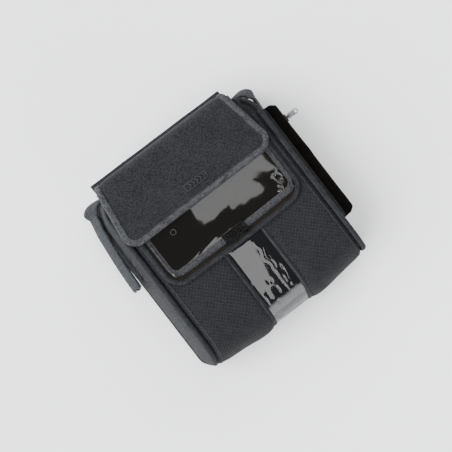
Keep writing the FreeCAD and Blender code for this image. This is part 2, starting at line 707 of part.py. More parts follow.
def make_pull():
    """Flat pull with an eye round the pivot bar and a hole near its tip."""
    pivot = "pocket_out + bridge_reach"
    low = "zip_centre - pull_thick / 2"

    def disc(name, x, radius, thick, start):
        piece = document.addObject("Part::Cylinder", name)
        bind(piece, {"Radius": radius, "Height": thick, "Placement.Base.x": x,
                     "Placement.Base.y": "slider_up", "Placement.Base.z": start})
        return piece

    tip = f"{pivot} + pull_long - pull_half"
    blade = document.addObject("Part::Box", "pull_blade")
    bind(blade, {"Length": "pull_long - pull_half", "Width": "2 * pull_half",
                 "Height": "pull_thick", "Placement.Base.x": pivot,
                 "Placement.Base.y": "slider_up - pull_half", "Placement.Base.z": low})
    solid = document.addObject("Part::MultiFuse", "pull_solid")
    solid.Shapes = [blade, disc("pull_eye_end", pivot, "pull_half", "pull_thick", low),
                    disc("pull_tip_end", tip, "pull_half", "pull_thick", low)]
    holes = document.addObject("Part::MultiFuse", "pull_holes")
    holes.Shapes = [disc("pull_eye", pivot, "pull_bore", "3 * pull_thick", f"{low} - pull_thick"),
                    disc("pull_hole", tip, "pull_hole", "3 * pull_thick", f"{low} - pull_thick")]
    pull = document.addObject("Part::Cut", "zip_pull")
    pull.Label = "zip_pull"
    pull.Base = solid
    pull.Tool = holes
    parts["zip_pull"] = pull


# ---------------------------------------------------------------- assembly

def check_and_write():
    """Every object has recomputed, every sub-part is a sound solid, then one file each."""
    for thing in document.Objects:
        if {"Invalid", "Error"} & set(thing.State):
            raise RuntimeError(f"{thing.Name}: {thing.State}")
    os.makedirs("parts", exist_ok=True)
    for name, part in parts.items():
        shape = part.Shape
        if shape.isNull() or not shape.isValid() or not shape.Solids:
            raise RuntimeError(f"{name} is not a sound solid")
        shape.exportStep(f"parts/{name}.step")
        print(f"{name}: {len(shape.Solids)} solid(s), {shape.Volume / 1000:.2f} cm3")


make_base()
for side_label, side_sign in SIDES:
    make_side_wall(side_label, side_sign)
    make_corner(side_label, side_sign)
    make_front_panel(side_label, side_sign)
    make_front_piping(side_label, side_sign)
make_top_wall()
make_clear_strip()
make_opening_facing()
make_window_flap()
make_press_stud()
make_main_flap()
make_hinge_strip()
make_webbing()
make_loose_strap()
make_pocket()
make_zip()
make_slider()
make_pull()
document.recompute()
check_and_write()
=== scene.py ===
import json
import math
import random

import bmesh
import bpy
import numpy as np
from mathutils import Matrix, Vector, noise


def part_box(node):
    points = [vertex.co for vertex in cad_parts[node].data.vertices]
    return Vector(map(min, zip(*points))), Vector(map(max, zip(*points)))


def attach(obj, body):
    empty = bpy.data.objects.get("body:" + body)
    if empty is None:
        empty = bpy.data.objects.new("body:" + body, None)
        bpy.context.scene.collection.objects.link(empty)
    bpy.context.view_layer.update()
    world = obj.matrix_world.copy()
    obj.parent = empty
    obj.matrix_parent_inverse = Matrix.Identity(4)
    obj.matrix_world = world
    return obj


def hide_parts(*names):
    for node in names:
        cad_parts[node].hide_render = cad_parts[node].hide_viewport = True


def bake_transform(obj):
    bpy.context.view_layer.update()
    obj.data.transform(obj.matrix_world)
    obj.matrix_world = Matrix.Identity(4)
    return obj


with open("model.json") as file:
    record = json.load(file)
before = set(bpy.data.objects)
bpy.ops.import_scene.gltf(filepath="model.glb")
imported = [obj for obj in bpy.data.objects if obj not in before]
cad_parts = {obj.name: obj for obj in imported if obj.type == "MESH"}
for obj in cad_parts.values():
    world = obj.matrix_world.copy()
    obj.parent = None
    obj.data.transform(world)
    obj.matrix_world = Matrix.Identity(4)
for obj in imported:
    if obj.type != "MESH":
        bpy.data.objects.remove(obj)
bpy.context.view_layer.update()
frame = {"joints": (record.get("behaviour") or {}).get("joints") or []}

# Lengths below are in millimetres; MM turns them into the scene's metres.
MM = 0.001


def corner_mm(node, end):
    """Lowest (0) or highest (1) corner of a CAD node, in millimetres."""
    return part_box(node)[end] / MM


def box_mm(node):
    """Lowest and highest corner of a CAD node, in millimetres."""
    return corner_mm(node, 0), corner_mm(node, 1)


def metres(x, y, z):
    """Point in the scene's metres from millimetres."""
    return Vector((x, y, z)) * MM


# ---------------------------------------------------------------- sizes from the frame

# The bag lies on its base. FRONT is the height of its front, ROLL the radius of its lower edge,
# and the distance w runs from the origin down the front and over the roll to ROLL_END at the base.
FRONT = corner_mm("front_panel_right", 1).z
BASE_TOP = corner_mm("base_panel", 1).z
BASE_HALF = corner_mm("base_panel", 1).x
TOP_FACE = corner_mm("top_wall", 1).y
BOTTOM = corner_mm("front_panel_right", 0).y
CORNER = TOP_FACE - corner_mm("corner_right", 0).y
FRONT_HALF = corner_mm("webbing_top", 1).x + CORNER
LEAN = (BASE_HALF - FRONT_HALF) / FRONT
ROLL = 38.0
ROLL_START = BOTTOM + ROLL
ROLL_FLAT = -ROLL_START
ROLL_ARC = ROLL * math.pi / 2
ROLL_END = ROLL_FLAT + ROLL_ARC + FRONT - ROLL - BASE_TOP
STRIP_HALF = corner_mm("window_strip", 1).x
PANEL_START = corner_mm("strip_binding_right", 1).x
OPENING_HALF = -corner_mm("window_pane", 0).x
OPENING_TOP = 102.0
JOINTS = {joint["name"]: joint for joint in frame["joints"]}
HINGE = Vector(JOINTS["window_flap_hinge"]["pos_m"]) / MM
STRAP_PIVOT = Vector(JOINTS["strap_swing"]["pos_m"]) / MM

# Sewn details: the groove between panel and piping, the gathered foot, and how padding swells.
GROOVE = 5.0
FOOT_RADIUS = 17.0
FOOT_PULL = 4.5
FOOT_BULGE = 2.0
PANEL_SWELL = 2.2
PANEL_CLOTH = 2.4
SEAM_DEPTH = 4.5

# Bands as (half width, thickness).
PIPING = (3.2, 5.0)
OPENING_BAND = (3.4, 2.6)
STRIP_BAND = (2.6, 2.6)
BASE_CORD = (1.8, 3.6)
LIP_BAND = (4.8, 3.4)
HINGE_BAND = (4.2, 1.6)
ZIP_BAND = (2.2, 0.9)

# Stitches as (pitch, length, radius of the thread).
EDGE_STITCH = (3.4, 2.4, 0.3)
STRIP_STITCH = (3.2, 2.3, 0.3)
ZIP_STITCH = (3.2, 2.3, 0.28)
FLAP_STITCH = (3.4, 2.4, 0.34)
HOOK_STITCH = (2.6, 1.8, 0.24)

# Cloth simulation: frames, stiffness of the weave and of its folds, mass of a point in kg.
CLOTH_FRAMES = 14
CLOTH_TENSION = 8.0
CLOTH_BENDING = 0.05
CLOTH_MASS = 0.0004


# ---------------------------------------------------------------- meshes

def make_piece(name, points, faces, uvs=None):
    """Smooth mesh object from millimetre points; uvs holds one (u, v) in millimetres for each point."""
    mesh = bpy.data.meshes.new(name)
    mesh.from_pydata([tuple(Vector(point) * MM) for point in points], [], faces)
    if uvs is not None:
        layer = mesh.uv_layers.new(name="UVMap")
        for loop in mesh.loops:
            u, v = uvs[loop.vertex_index]
            layer.data[loop.index].uv = (u * MM, v * MM)
    mesh.update()
    piece = bpy.data.objects.new(name, mesh)
    smooth_shade(piece)
    bpy.context.scene.collection.objects.link(piece)
    return piece


def smooth_shade(piece):
    """Shades every face of a piece smoothly."""
    for polygon in piece.data.polygons:
        polygon.use_smooth = True


def steps(start, end, size):
    """Even steps from start to end, each about size long."""
    count = max(1, round(abs(end - start) / size))
    return [start + (end - start) * index / count for index in range(count + 1)]


def runs(*spans):
    """Steps over spans that follow each other, each given as its start, end and step size."""
    found = []
    for span in spans:
        found = found[:-1] + steps(*span)
    return found


def make_sheet(name, place, us, vs, keep=None, lay=None):
    """Grid mesh of place(u, v); keep(u, v) picks cells and lay(u, v) gives UVs in millimetres."""
    points = [place(u, v) for u in us for v in vs]
    uvs = [lay(u, v) if lay else (u, v) for u in us for v in vs]
    rows = len(vs)
    faces = []
    for i in range(len(us) - 1):
        for j in range(rows - 1):
            if keep and not keep((us[i] + us[i + 1]) / 2, (vs[j] + vs[j + 1]) / 2):
                continue
            first = i * rows + j
            faces.append((first, first + rows, first + rows + 1, first + 1))
    piece = make_piece(name, points, faces, uvs)
    drop_loose_points(piece)
    face_outwards(piece)
    return piece


def face_outwards(piece):
    """Turns a sheet's faces away from the middle of the bag."""
    middle = metres(0, 0, FRONT / 2)
    faces = piece.data.polygons
    if sum(face.normal.dot(face.center - middle) * face.area for face in faces) < 0:
        piece.data.flip_normals()


def drop_loose_points(piece):
    """Removes the grid points that no kept cell uses."""
    mesh = piece.data
    used = {index for polygon in mesh.polygons for index in polygon.vertices}
    if len(used) == len(mesh.vertices):
        return
    work = bmesh.new()
    work.from_mesh(mesh)
    loose = [point for point in work.verts if point.index not in used]
    bmesh.ops.delete(work, geom=loose, context="VERTS")
    work.to_mesh(mesh)
    work.free()


def apply_modifiers(piece):
    """Bakes the piece's modifiers into its mesh."""
    bpy.context.view_layer.update()
    evaluated = piece.evaluated_get(bpy.context.evaluated_depsgraph_get())
    mesh = bpy.data.meshes.new_from_object(evaluated)
    piece.modifiers.clear()
    piece.data = mesh


def thicken(piece, thick, offset=-1.0):
    """Gives a sheet its thickness, inwards by default."""
    solid = piece.modifiers.new("thick", "SOLIDIFY")
    solid.thickness = thick * MM
    solid.offset = offset
    solid.use_even_offset = False
    apply_modifiers(piece)
    smooth_shade(piece)


def tangents(path):
    """Direction along a path at each of its points."""
    last = len(path) - 1
    return [Vector(path[min(index + 1, last)]) - Vector(path[max(index - 1, 0)])
            for index in range(last + 1)]


def distances(path, start=0.0):
    """Distance along a path at each of its points."""
    found = [start]
    for before, after in zip(path, path[1:]):
        found.append(found[-1] + (Vector(after) - Vector(before)).length)
    return found


def tube_faces(first, rings, sides):
    """Faces between rings of points that follow each other, from the point numbered first."""
    faces = []
    for row in range(rings - 1):
        for step in range(sides):
            a = first + row * sides + step
            b = first + row * sides + (step + 1) % sides
            faces.append((a, a + sides, b + sides, b))
    return faces


BAND_SIDES = 14


def make_band(name, path, across, half, thick, ends=True, power=2.6):
    """Band of rounded section along a path.

    path and across are lists of points and of directions across the band; the section is a
    flattened rounded shape, 2 * half wide and thick high. UVs run along and round the band.
    """
    points, uvs = [], []
    for point, crossing, tangent, along in zip(path, across, tangents(path), distances(path)):
        side = Vector(crossing).normalized()
        height = tangent.normalized().cross(side).normalized()
        for step in range(BAND_SIDES):
            angle = 2 * math.pi * step / BAND_SIDES
            c, s = math.cos(angle), math.sin(angle)
            x = math.copysign(abs(c) ** (2 / power), c) * half
            y = math.copysign(abs(s) ** (2 / power), s) * thick / 2
            points.append(Vector(point) + side * x + height * y)
            uvs.append((along, x if s >= 0 else 2 * half - x))
    faces = tube_faces(0, len(path), BAND_SIDES)
    if ends:
        last = (len(path) - 1) * BAND_SIDES
        faces.append(tuple(range(BAND_SIDES)))
        faces.append(tuple(range(last, last + BAND_SIDES))[::-1])
    return make_piece(name, points, faces, uvs)


# One stitch: shares of its length, and how far the thread stands out of the cloth there.
STITCH_BEND = ((0.0, -0.3), (0.18, 0.12), (0.5, 0.3), (0.82, 0.12), (1.0, -0.3))
STITCH_SIDES = 6


def make_stitches(name, path, normals, stitch):
    """Row of stitches along a path: a short thread bent down into the cloth at both ends."""
    pitch, length, radius = stitch
    lengths = distances(path)

    def at(distance):
        index = min(max(np.searchsorted(lengths, distance) - 1, 0), len(path) - 2)
        run = lengths[index + 1] - lengths[index]
        share = (distance - lengths[index]) / run if run else 0.0
        point = Vector(path[index]).lerp(Vector(path[index + 1]), share)
        return point, Vector(normals[index]).normalized()

    points, faces = [], []
    for number in range(int(lengths[-1] / pitch)):
        start = number * pitch + (pitch - length) / 2
        faces += tube_faces(len(points), len(STITCH_BEND), STITCH_SIDES)
        for share, lift in STITCH_BEND:
            middle, normal = at(start + share * length)
            ahead, _ = at(start + share * length + 0.2)
            behind, _ = at(start + share * length - 0.2)
            side = (ahead - behind).normalized().cross(normal).normalized()
            for step in range(STITCH_SIDES):
                angle = 2 * math.pi * step / STITCH_SIDES
                offset = side * math.cos(angle) + normal * math.sin(angle)
                points.append(middle + normal * lift + offset * radius)
    return make_piece(name, points, faces)


def stitch_rows(name, rows, normal, stitch):
    """Several rows of stitches on one face, as one object."""
    return join(name, [make_stitches("row", row, [normal] * len(row), stitch) for row in rows])


def join(name, pieces):
    """One object from several, keeping each one's materials."""
    for other in bpy.context.selected_objects:
        other.select_set(False)
    for piece in pieces:
        piece.select_set(True)
    bpy.context.view_layer.objects.active = pieces[0]
    bpy.ops.object.join()
    pieces[0].name = name
    pieces[0].data.name = name
    return pieces[0]


def make_pad(name, middle, us, vs, thick, lay=None):
    """Closed pad round the mid surface middle(u, v) -> (point, normal), thick(u, v) deep."""
    tops, bottoms, uvs = [], [], []
    for u in us:
        for v in vs:
            point, normal = middle(u, v)
            half = Vector(normal).normalized() * (thick(u, v) / 2)
            tops.append(Vector(point) + half)
            bottoms.append(Vector(point) - half)
            uvs.append(lay(u, v) if lay else (u, v))
    rows, columns = len(vs), len(us)
    shift = rows * columns
    faces = []
    for i in range(columns - 1):
        for j in range(rows - 1):
            a = i * rows + j
            faces.append((a, a + rows, a + rows + 1, a + 1))
            faces.append((shift + a, shift + a + 1, shift + a + rows + 1, shift + a + rows))
    rim = ([i * rows for i in range(columns)] + [(columns - 1) * rows + j for j in range(1, rows)]
           + [i * rows + rows - 1 for i in range(columns - 2, -1, -1)] + list(range(rows - 2, 0, -1)))
    for index, a in enumerate(rim):
        b = rim[(index + 1) % len(rim)]
        faces.append((a, shift + a, shift + b, b))
    return make_piece(name, tops + bottoms, faces, uvs + uvs)


def make_slab(name, outline, low, high, bevel):
    """Flat piece of the given outline between two heights, with rounded edges."""
    count = len(outline)
    points = [(x, y, low) for x, y in outline] + [(x, y, high) for x, y in outline]
    faces = [tuple(range(count))[::-1], tuple(range(count, 2 * count))]
    for index in range(count):
        following = (index + 1) % count
        faces.append((index, following, count + following, count + index))
    piece = make_piece(name, points, faces)
    rim = piece.modifiers.new("rim", "BEVEL")
    rim.width = bevel * MM
    rim.segments = 2
    rim.limit_method = "ANGLE"
    rim.angle_limit = math.radians(50)
    apply_modifiers(piece)
    return piece


# Rounded end of a rod: distances from its end and widths there, both as shares of its radius.
ROD_END = ((-0.9, 0.45), (-0.5, 0.85), (0.1, 1.0))


def make_rods(name, rods, radius, sides):
    """Small round-ended rods, each given by its two ends."""
    points, faces = [], []
    for start, end in rods:
        start, end = Vector(start), Vector(end)
        axis = (end - start).normalized()
        side = axis.orthogonal().normalized()
        other = axis.cross(side)
        first = len(points)
        stations = ([(start, out, size) for out, size in ROD_END]
                    + [(end, -out, size) for out, size in reversed(ROD_END)])
        for base, out, size in stations:
            for step in range(sides):
                angle = 2 * math.pi * step / sides
                round_part = side * math.cos(angle) + other * math.sin(angle)
                points.append(base + axis * out * radius + round_part * radius * size)
        last = len(points) - sides
        faces += [(a, d, c, b) for a, b, c, d in tube_faces(first, len(stations), sides)]
        faces += [tuple(range(first, first + sides))[::-1], tuple(range(last, last + sides))]
    return make_piece(name, points, faces)


def smooth_path(points, size):
    """Even points along a smooth curve through the given ones."""
    points = [Vector(point) for point in points]
    padded = [2 * points[0] - points[1], *points, 2 * points[-1] - points[-2]]
    dense = []
    for index in range(1, len(padded) - 2):
        a, b, c, d = padded[index - 1:index + 3]
        count = max(2, int((c - b).length / size * 4))
        for step in range(count):
            t = step / count
            dense.append(0.5 * (2 * b + (c - a) * t + (2 * a - 5 * b + 4 * c - d) * t ** 2
                                + (3 * b - a - 3 * c + d) * t ** 3))
    dense.append(points[-1])
    even, left = [dense[0]], size
    for before, after in zip(dense, dense[1:]):
        left -= (after - before).length
        if left <= 0:
            even.append(after)
            left += size
    if (even[-1] - dense[-1]).length > size / 3:
        even.append(dense[-1])
    return even


def corner_arc(centre, radius, start, end, count):
    """Points on an arc in plan, angles in degrees."""
    return [(centre[0] + radius * math.cos(math.radians(start + (end - start) * step / count)),
             centre[1] + radius * math.sin(math.radians(start + (end - start) * step / count)))
            for step in range(count + 1)]


def rounded_box(left, right, low, high, turn, count):
    """Outline of a rectangle with rounded corners, anticlockwise from the lower right corner."""
    return (corner_arc((right - turn, low + turn), turn, -90, 0, count)
            + corner_arc((right - turn, high - turn), turn, 0, 90, count)
            + corner_arc((left + turn, high - turn), turn, 90, 180, count)
            + corner_arc((left + turn, low + turn), turn, 180, 270, count))


def filled_in(path, size):
    """The path with more points, none much further apart than size."""
    found = []
    for before, after in zip(path, path[1:]):
        count = max(1, int((after - before).length / size))
        found += [before + (after - before) * step / count for step in range(count)]
    return found + [path[-1]]


def crosswise(path, turn):
    """Level directions across a path: to its right where turn is 1, to its left where it is -1."""
    return [along.cross(Vector((0, 0, 1))) * turn for along in tangents(path)]


def round_square(point, centre):
    """Moves a point beyond an arc's centre from the square corner on to the rounded one."""
    dx, dy = point[0] - centre[0], point[1] - centre[1]
    length = math.hypot(dx, dy)
    if not length:
        return point
    reach = max(abs(dx), abs(dy))
    return (centre[0] + dx / length * reach, centre[1] + dy / length * reach)


def smooth_step(value, low, high):
    """0 below low, 1 above high, smooth between."""
    share = min(max((value - low) / (high - low), 0.0), 1.0)
    return share * share * (3 - 2 * share)


# ---------------------------------------------------------------- shape of the bag

def wall_x(z):
    """X of the right wall's outer face at a height."""
    return FRONT_HALF + (FRONT - z) * LEAN


def rolled(w, lift=0.0):
    """(Y, Z) at distance w below the origin along the front and over the roll, raised by lift."""
    if w <= ROLL_FLAT:
        return -w, FRONT + lift
    angle = (w - ROLL_FLAT) / ROLL
    if angle <= math.pi / 2:
        reach = ROLL + lift
        return ROLL_START - reach * math.sin(angle), FRONT - ROLL + reach * math.cos(angle)
    return BOTTOM - lift, FRONT - ROLL - (w - ROLL_FLAT - ROLL_ARC)


def foot_round(point):
    """Rounds the bag's lower corners in plan, gathers them upwards and lets the middle bulge."""
    x, y, z = point
    low = min(max((FRONT - z) / FRONT, 0.0), 1.0)
    radius = FOOT_RADIUS * low ** 0.8
    centre_x = wall_x(z) - radius
    centre_y = BOTTOM + radius
    dx, dy = abs(x) - centre_x, centre_y - y
    if radius > 0.5 and dx > 0 and dy > 0:
        reach = max(dx, dy)
        length = math.hypot(dx, dy)
        x = math.copysign(centre_x + dx / length * reach, x)
        y = centre_y - dy / length * reach
    foot = smooth_step(-y, -ROLL_START - 15.0, -BOTTOM)
    pull = FOOT_PULL * smooth_step(abs(x), 45.0, FRONT_HALF + 8.0)
    pull -= FOOT_BULGE * smooth_step(80.0 - abs(x), 0, 60.0)
    return (x, y + pull * foot, z)


def ripple(x, y, size, seed):
    """Smooth noise from -1 to 1 with features of about the given size."""
    return noise.noise(Vector((x / size, y / size, seed)))


def hump(distance, reach):
    """0 at a seam, rising smoothly to 1 at reach from it."""
    share = min(max(distance / reach, 0.0), 1.0)
    return math.sin(share * math.pi / 2)


# ---------------------------------------------------------------- cloth simulation

def inflate(piece, pressure, cap, pin_where):
    """Swells a sheet under pressure between its pinned points, by cap at most, then keeps the result."""
    group = piece.vertex_groups.new(name="pin")
    before = [point.co.copy() for point in piece.data.vertices]
    border = border_points(piece)
    pinned = [index for index, point in enumerate(before) if index in border or pin_where(point / MM)]
    group.add(pinned, 1.0, "REPLACE")
    cloth = piece.modifiers.new("cloth", "CLOTH")
    cloth.settings.quality = 6
    cloth.settings.mass = CLOTH_MASS
    cloth.settings.tension_stiffness = CLOTH_TENSION
    cloth.settings.compression_stiffness = CLOTH_TENSION
    cloth.settings.shear_stiffness = CLOTH_TENSION
    cloth.settings.bending_stiffness = CLOTH_BENDING
    cloth.settings.vertex_group_mass = "pin"
    cloth.settings.use_pressure = True
    cloth.settings.uniform_pressure_force = pressure
    cloth.settings.effector_weights.gravity = 0.0
    cloth.point_cache.frame_start = 1
    cloth.point_cache.frame_end = CLOTH_FRAMES
    scene = bpy.context.scene
    for number in range(1, CLOTH_FRAMES + 1):
        scene.frame_set(number)
    apply_modifiers(piece)
    scene.frame_set(1)
    for point, old in zip(piece.data.vertices, before):
        move = point.co - old
        if move.length > cap * MM:
            point.co = old + move.normalized() * cap * MM
    smooth_shade(piece)


def border_points(piece):
    """Indices of the points on the sheet's open edges."""
    seen = {}
    for polygon in piece.data.polygons:
        for key in polygon.edge_keys:
            seen[key] = seen.get(key, 0) + 1
    return {index for key, count in seen.items() if count == 1 for index in key}


# ---------------------------------------------------------------- materials

def new_material(name, colour, roughness, metallic=0.0):
    """Material with a Principled shader, and the helper that adds its detail nodes."""
    material = bpy.data.materials.new(name)
    material.use_nodes = True
    nodes = Nodes(material.node_tree)
    shader = nodes.tree.nodes["Principled BSDF"]
    nodes.feed(shader, {"Base Color": (*colour, 1), "Roughness": roughness, "Metallic": metallic})
    return material, nodes, shader


class Nodes:
    """Short names for the node set-ups that the materials share."""

    def __init__(self, tree):
        self.tree = tree

    def feed(self, node, inputs):
        """Gives each named or numbered socket of a node its value or its link."""
        for socket, value in inputs.items():
            if hasattr(value, "links"):
                self.tree.links.new(value, node.inputs[socket])
            else:
                node.inputs[socket].default_value = value

    def make(self, kind, inputs, **settings):
        """Outputs of a new node with these settings and inputs."""
        node = self.tree.nodes.new("ShaderNode" + kind)
        for name, value in settings.items():
            setattr(node, name, value)
        self.feed(node, inputs)
        return node.outputs

    def math(self, operation, first, second=0.0, third=None):
        values = (first, second) if third is None else (first, second, third)
        return self.make("Math", dict(enumerate(values)), operation=operation)[0]

    def place(self, uv):
        return self.make("TexCoord", {})["UV" if uv else "Object"]

    def noise(self, place, size, detail, rough):
        inputs = {"Vector": place, "Scale": 1 / (size * MM), "Detail": detail, "Roughness": rough}
        return self.make("TexNoise", inputs)["Fac"]

    def cells(self, place, wide, high):
        """One random value for each thread crossing of the given size."""
        split = self.make("SeparateXYZ", {0: place})
        joined = self.tree.nodes.new("ShaderNodeCombineXYZ")
        for axis, size in enumerate((wide, high, wide)):
            index = self.math("FLOOR", self.math("MULTIPLY", split[axis], 1 / (size * MM)))
            self.tree.links.new(index, joined.inputs[axis])
        return self.make("TexWhiteNoise", {"Vector": joined.outputs[0]})["Value"]

    def ramp(self, value, low, high, low_colour, high_colour):
        node = self.tree.nodes.new("ShaderNodeValToRGB")
        self.tree.links.new(value, node.inputs[0])
        stops = ((low, low_colour), (high, high_colour))
        for stop, (position, colour) in zip(node.color_ramp.elements, stops):
            stop.position = position
            stop.color = (*colour, 1)
        return node.outputs[0]

    def bump(self, height, depth):
        return self.make("Bump", {"Height": height, "Distance": depth * MM})[0]


def weave_height(nodes, place, pitch):
    """Height of a plain weave: threads run both ways and pass over each other in turn."""
    split = nodes.make("SeparateXYZ", {0: place})
    along = nodes.math("MULTIPLY", split[0], 1 / (pitch * MM))
    across = nodes.math("MULTIPLY", split[1], 1 / (pitch * MM))
    warp = nodes.math("ABSOLUTE", nodes.math("SINE", nodes.math("MULTIPLY", along, math.pi)))
    weft = nodes.math("ABSOLUTE", nodes.math("SINE", nodes.math("MULTIPLY", across, math.pi)))
    cells = nodes.math("ADD", nodes.math("FLOOR", along), nodes.math("FLOOR", across))
    over = nodes.math("ABSOLUTE", nodes.math("MODULO", cells, 2.0))
    under = nodes.math("SUBTRACT", 1.0, over)
    height = nodes.math("ADD", nodes.math("MULTIPLY", warp, over), nodes.math("MULTIPLY", weft, under))
    return height, over


def shade(colour, factor):
    """The colour made lighter or darker."""
    return tuple(min(channel * factor, 1.0) for channel in colour)


# Shades of a fabric's deepest threads, with painted shade, and highest threads, with painted light, and of
# its lint, as shares of its colour.
THREAD_DARK, THREAD_BRIGHT, LINT_BRIGHT = 0.1, 4.5, 5.0
LINT_SIZE = 1.6
LINT_RARITY = 0.74


def fabric(name, colour, pitch, depth, uv=True, contrast=0.45, sheen=0.25, rough=0.85,
           patch=18.0, fuzz=0.5, lint=0.0, heather=0.7, tones=(0.35, 1.30), gleam=0.10):
    """Woven cloth: thread relief with painted shade and light, threads of uneven tone, fuzz, lint, larger
    worn patches.

    pitch is the width of a thread, depth the height of the relief, and patch and fuzz the sizes
    of the worn patches and of the fuzz, all in millimetres. contrast is how much of the tone follows
    the weave's height, as painted shade between the threads and painted light on those on top;
    heather is how much the threads differ, and tones the stretch of the tone that the colour ramp covers.
    """
    material, nodes, shader = new_material(name, colour, rough)
    place = nodes.place(uv)
    weave, over = weave_height(nodes, place, pitch)
    fine = nodes.noise(place, fuzz, 2.0, 0.7)
    broad = nodes.noise(place, patch, 4.0, 0.6)
    # The tone follows the weave's height: painted shade between the threads, painted light on the threads
    # on top.
    threads = nodes.math("MULTIPLY", nodes.math("MULTIPLY_ADD", over, 0.6, weave), contrast)
    tone = nodes.math("ADD", threads, nodes.math("MULTIPLY", fine, 1 - contrast))
    tone = nodes.math("ADD", tone, nodes.math("MULTIPLY", broad, 0.35))
    yarn = nodes.cells(place, pitch, pitch)
    tone = nodes.math("ADD", tone, nodes.math("MULTIPLY_ADD", yarn, heather, -heather / 2))
    tint = nodes.ramp(tone, *tones, shade(colour, THREAD_DARK), shade(colour, THREAD_BRIGHT))
    if lint:
        specks = nodes.noise(place, LINT_SIZE, 1.0, 0.5)
        bright = nodes.math("MULTIPLY", nodes.math("GREATER_THAN", specks, LINT_RARITY), lint)
        lint_colour = (*shade(colour, LINT_BRIGHT), 1)
        tint = nodes.make("Mix", {0: bright, 6: tint, 7: lint_colour}, data_type="RGBA")[2]
    relief = nodes.math("ADD", weave, nodes.math("MULTIPLY", fine, 0.5))
    nodes.feed(shader, {"Base Color": tint, "Normal": nodes.bump(relief, depth), "Sheen Weight": sheen,
                        "Sheen Roughness": 0.45, "Specular IOR Level": gleam})
    return material


def ribbed(name, colour, pitch, depth, sheen, contrast=1.0):
    """Grosgrain tape or webbing: ribs across the band with painted shade between them, patches and threads
    of uneven tone.
    """
    material, nodes, shader = new_material(name, colour, 0.8)
    place = nodes.place(True)
    split = nodes.make("SeparateXYZ", {0: place})
    ribs = nodes.math("SINE", nodes.math("MULTIPLY", split[0], math.pi / (pitch * MM)))
    ribs = nodes.math("ABSOLUTE", ribs)
    fine = nodes.noise(place, 0.6, 2.0, 0.7)
    broad = nodes.noise(place, 14.0, 4.0, 0.6)
    # The tone follows the ribs: painted shade between them, painted light on their tops.
    tone = nodes.math("ADD", nodes.math("MULTIPLY", ribs, 0.55), nodes.math("MULTIPLY", fine, 0.2))
    tone = nodes.math("ADD", tone, nodes.math("MULTIPLY", broad, 0.55))
    yarn = nodes.cells(place, pitch, 1.4)
    tone = nodes.math("ADD", tone, nodes.math("MULTIPLY_ADD", yarn, 0.6, -0.3))
    dark, bright = shade(colour, 0.25 / contrast), shade(colour, 2.8 * contrast)
    tint = nodes.ramp(tone, 0.25, 1.1, dark, bright)
    relief = nodes.math("ADD", ribs, nodes.math("MULTIPLY", fine, 0.6))
    nodes.feed(shader, {"Base Color": tint, "Normal": nodes.bump(relief, depth), "Sheen Weight": sheen,
                        "Sheen Roughness": 0.4, "Specular IOR Level": 0.12})
    return material


GRAIN_DEPTH = 0.05


def moulded(name, colour, rough, grain=0.9, metallic=0.0, wear_and_glints=1.5, gleam=0.5, patch=6.0):
    """Moulded plastic, rubber, thread, painted or plated metal: fine grain and uneven gloss."""
    material, nodes, shader = new_material(name, colour, rough, metallic)
    place = nodes.place(False)
    fine = nodes.noise(place, grain, 3.0, 0.6)
    broad = nodes.noise(place, patch, 3.0, 0.6)
    dark, bright = shade(colour, 0.75 / wear_and_glints ** 0.5), shade(colour, wear_and_glints)
    tint = nodes.ramp(broad, 0.3, 0.8, dark, bright)
    gloss = nodes.math("MULTIPLY_ADD", fine, 0.2, rough - 0.1)
    nodes.feed(shader, {"Base Color": tint, "Roughness": gloss, "Specular IOR Level": gleam,
                        "Normal": nodes.bump(fine, GRAIN_DEPTH)})
    return material


def vinyl(name, tint, solid, ior):
    """Soft clear vinyl, thin and glossy, with faint scuffs; solid is the share that it hides."""
    material, nodes, shader = new_material(name, tint, 0.06)
    place = nodes.place(True)
    scuffs = nodes.math("MULTIPLY_ADD", nodes.noise(place, 9.0, 5.0, 0.65), 0.05, 0.0)
    smears = nodes.math("MULTIPLY_ADD", nodes.noise(place, 30.0, 4.0, 0.6), 0.10, solid - 0.05)
    nodes.feed(shader, {"Roughness": scuffs, "Alpha": smears, "IOR": ior})
    return material


SHELL = fabric("shell_fabric", (0.0034, 0.0036, 0.0041), 2.7, 0.8, contrast=0.95, sheen=0.05, lint=0.3,
               heather=0.45, tones=(0.55, 1.15))
SHELL_DARK = fabric("pocket_fabric", (0.0010, 0.0009, 0.0008), 1.2, 0.2, contrast=0.4, sheen=0.0,
                    gleam=0.02)
FLAP = fabric("flap_fabric", (0.0043, 0.0044, 0.0051), 1.1, 0.12, contrast=0.3, sheen=0.06,
              rough=0.9, patch=40.0, fuzz=1.3, lint=0.5, heather=0.5)
FLAP_EDGE = ribbed("flap_binding", (0.0185, 0.0190, 0.0205), 1.6, 0.3, sheen=0.08)
BINDING = ribbed("binding_tape", (0.0072, 0.0076, 0.0087), 1.4, 0.25, sheen=0.05)
# The pocket cords' tape is lightened: its colour partly holds a painted highlight along their ridges.
POCKET_CORD_PAINTED_HIGHLIGHT = ribbed("pocket_cord_painted_highlight", (0.0085, 0.0078, 0.0078), 1.4, 0.25, sheen=0.05)
MESH = fabric("mesh_band", (0.0095, 0.0095, 0.0104), 1.4, 0.5, contrast=0.7, sheen=0.05, rough=0.6,
              patch=6.0, fuzz=1.1, lint=0.8, heather=1.0)
STRIP_VINYL = vinyl("strip_vinyl", (0.004, 0.004, 0.005), 0.62, 1.92)
PANE_VINYL = vinyl("pane_vinyl", (0.0035, 0.0028, 0.0022), 0.86, 1.70)
HOOKS = moulded("hook_tape", (0.0006, 0.0006, 0.0006), 0.8, gleam=0.0)
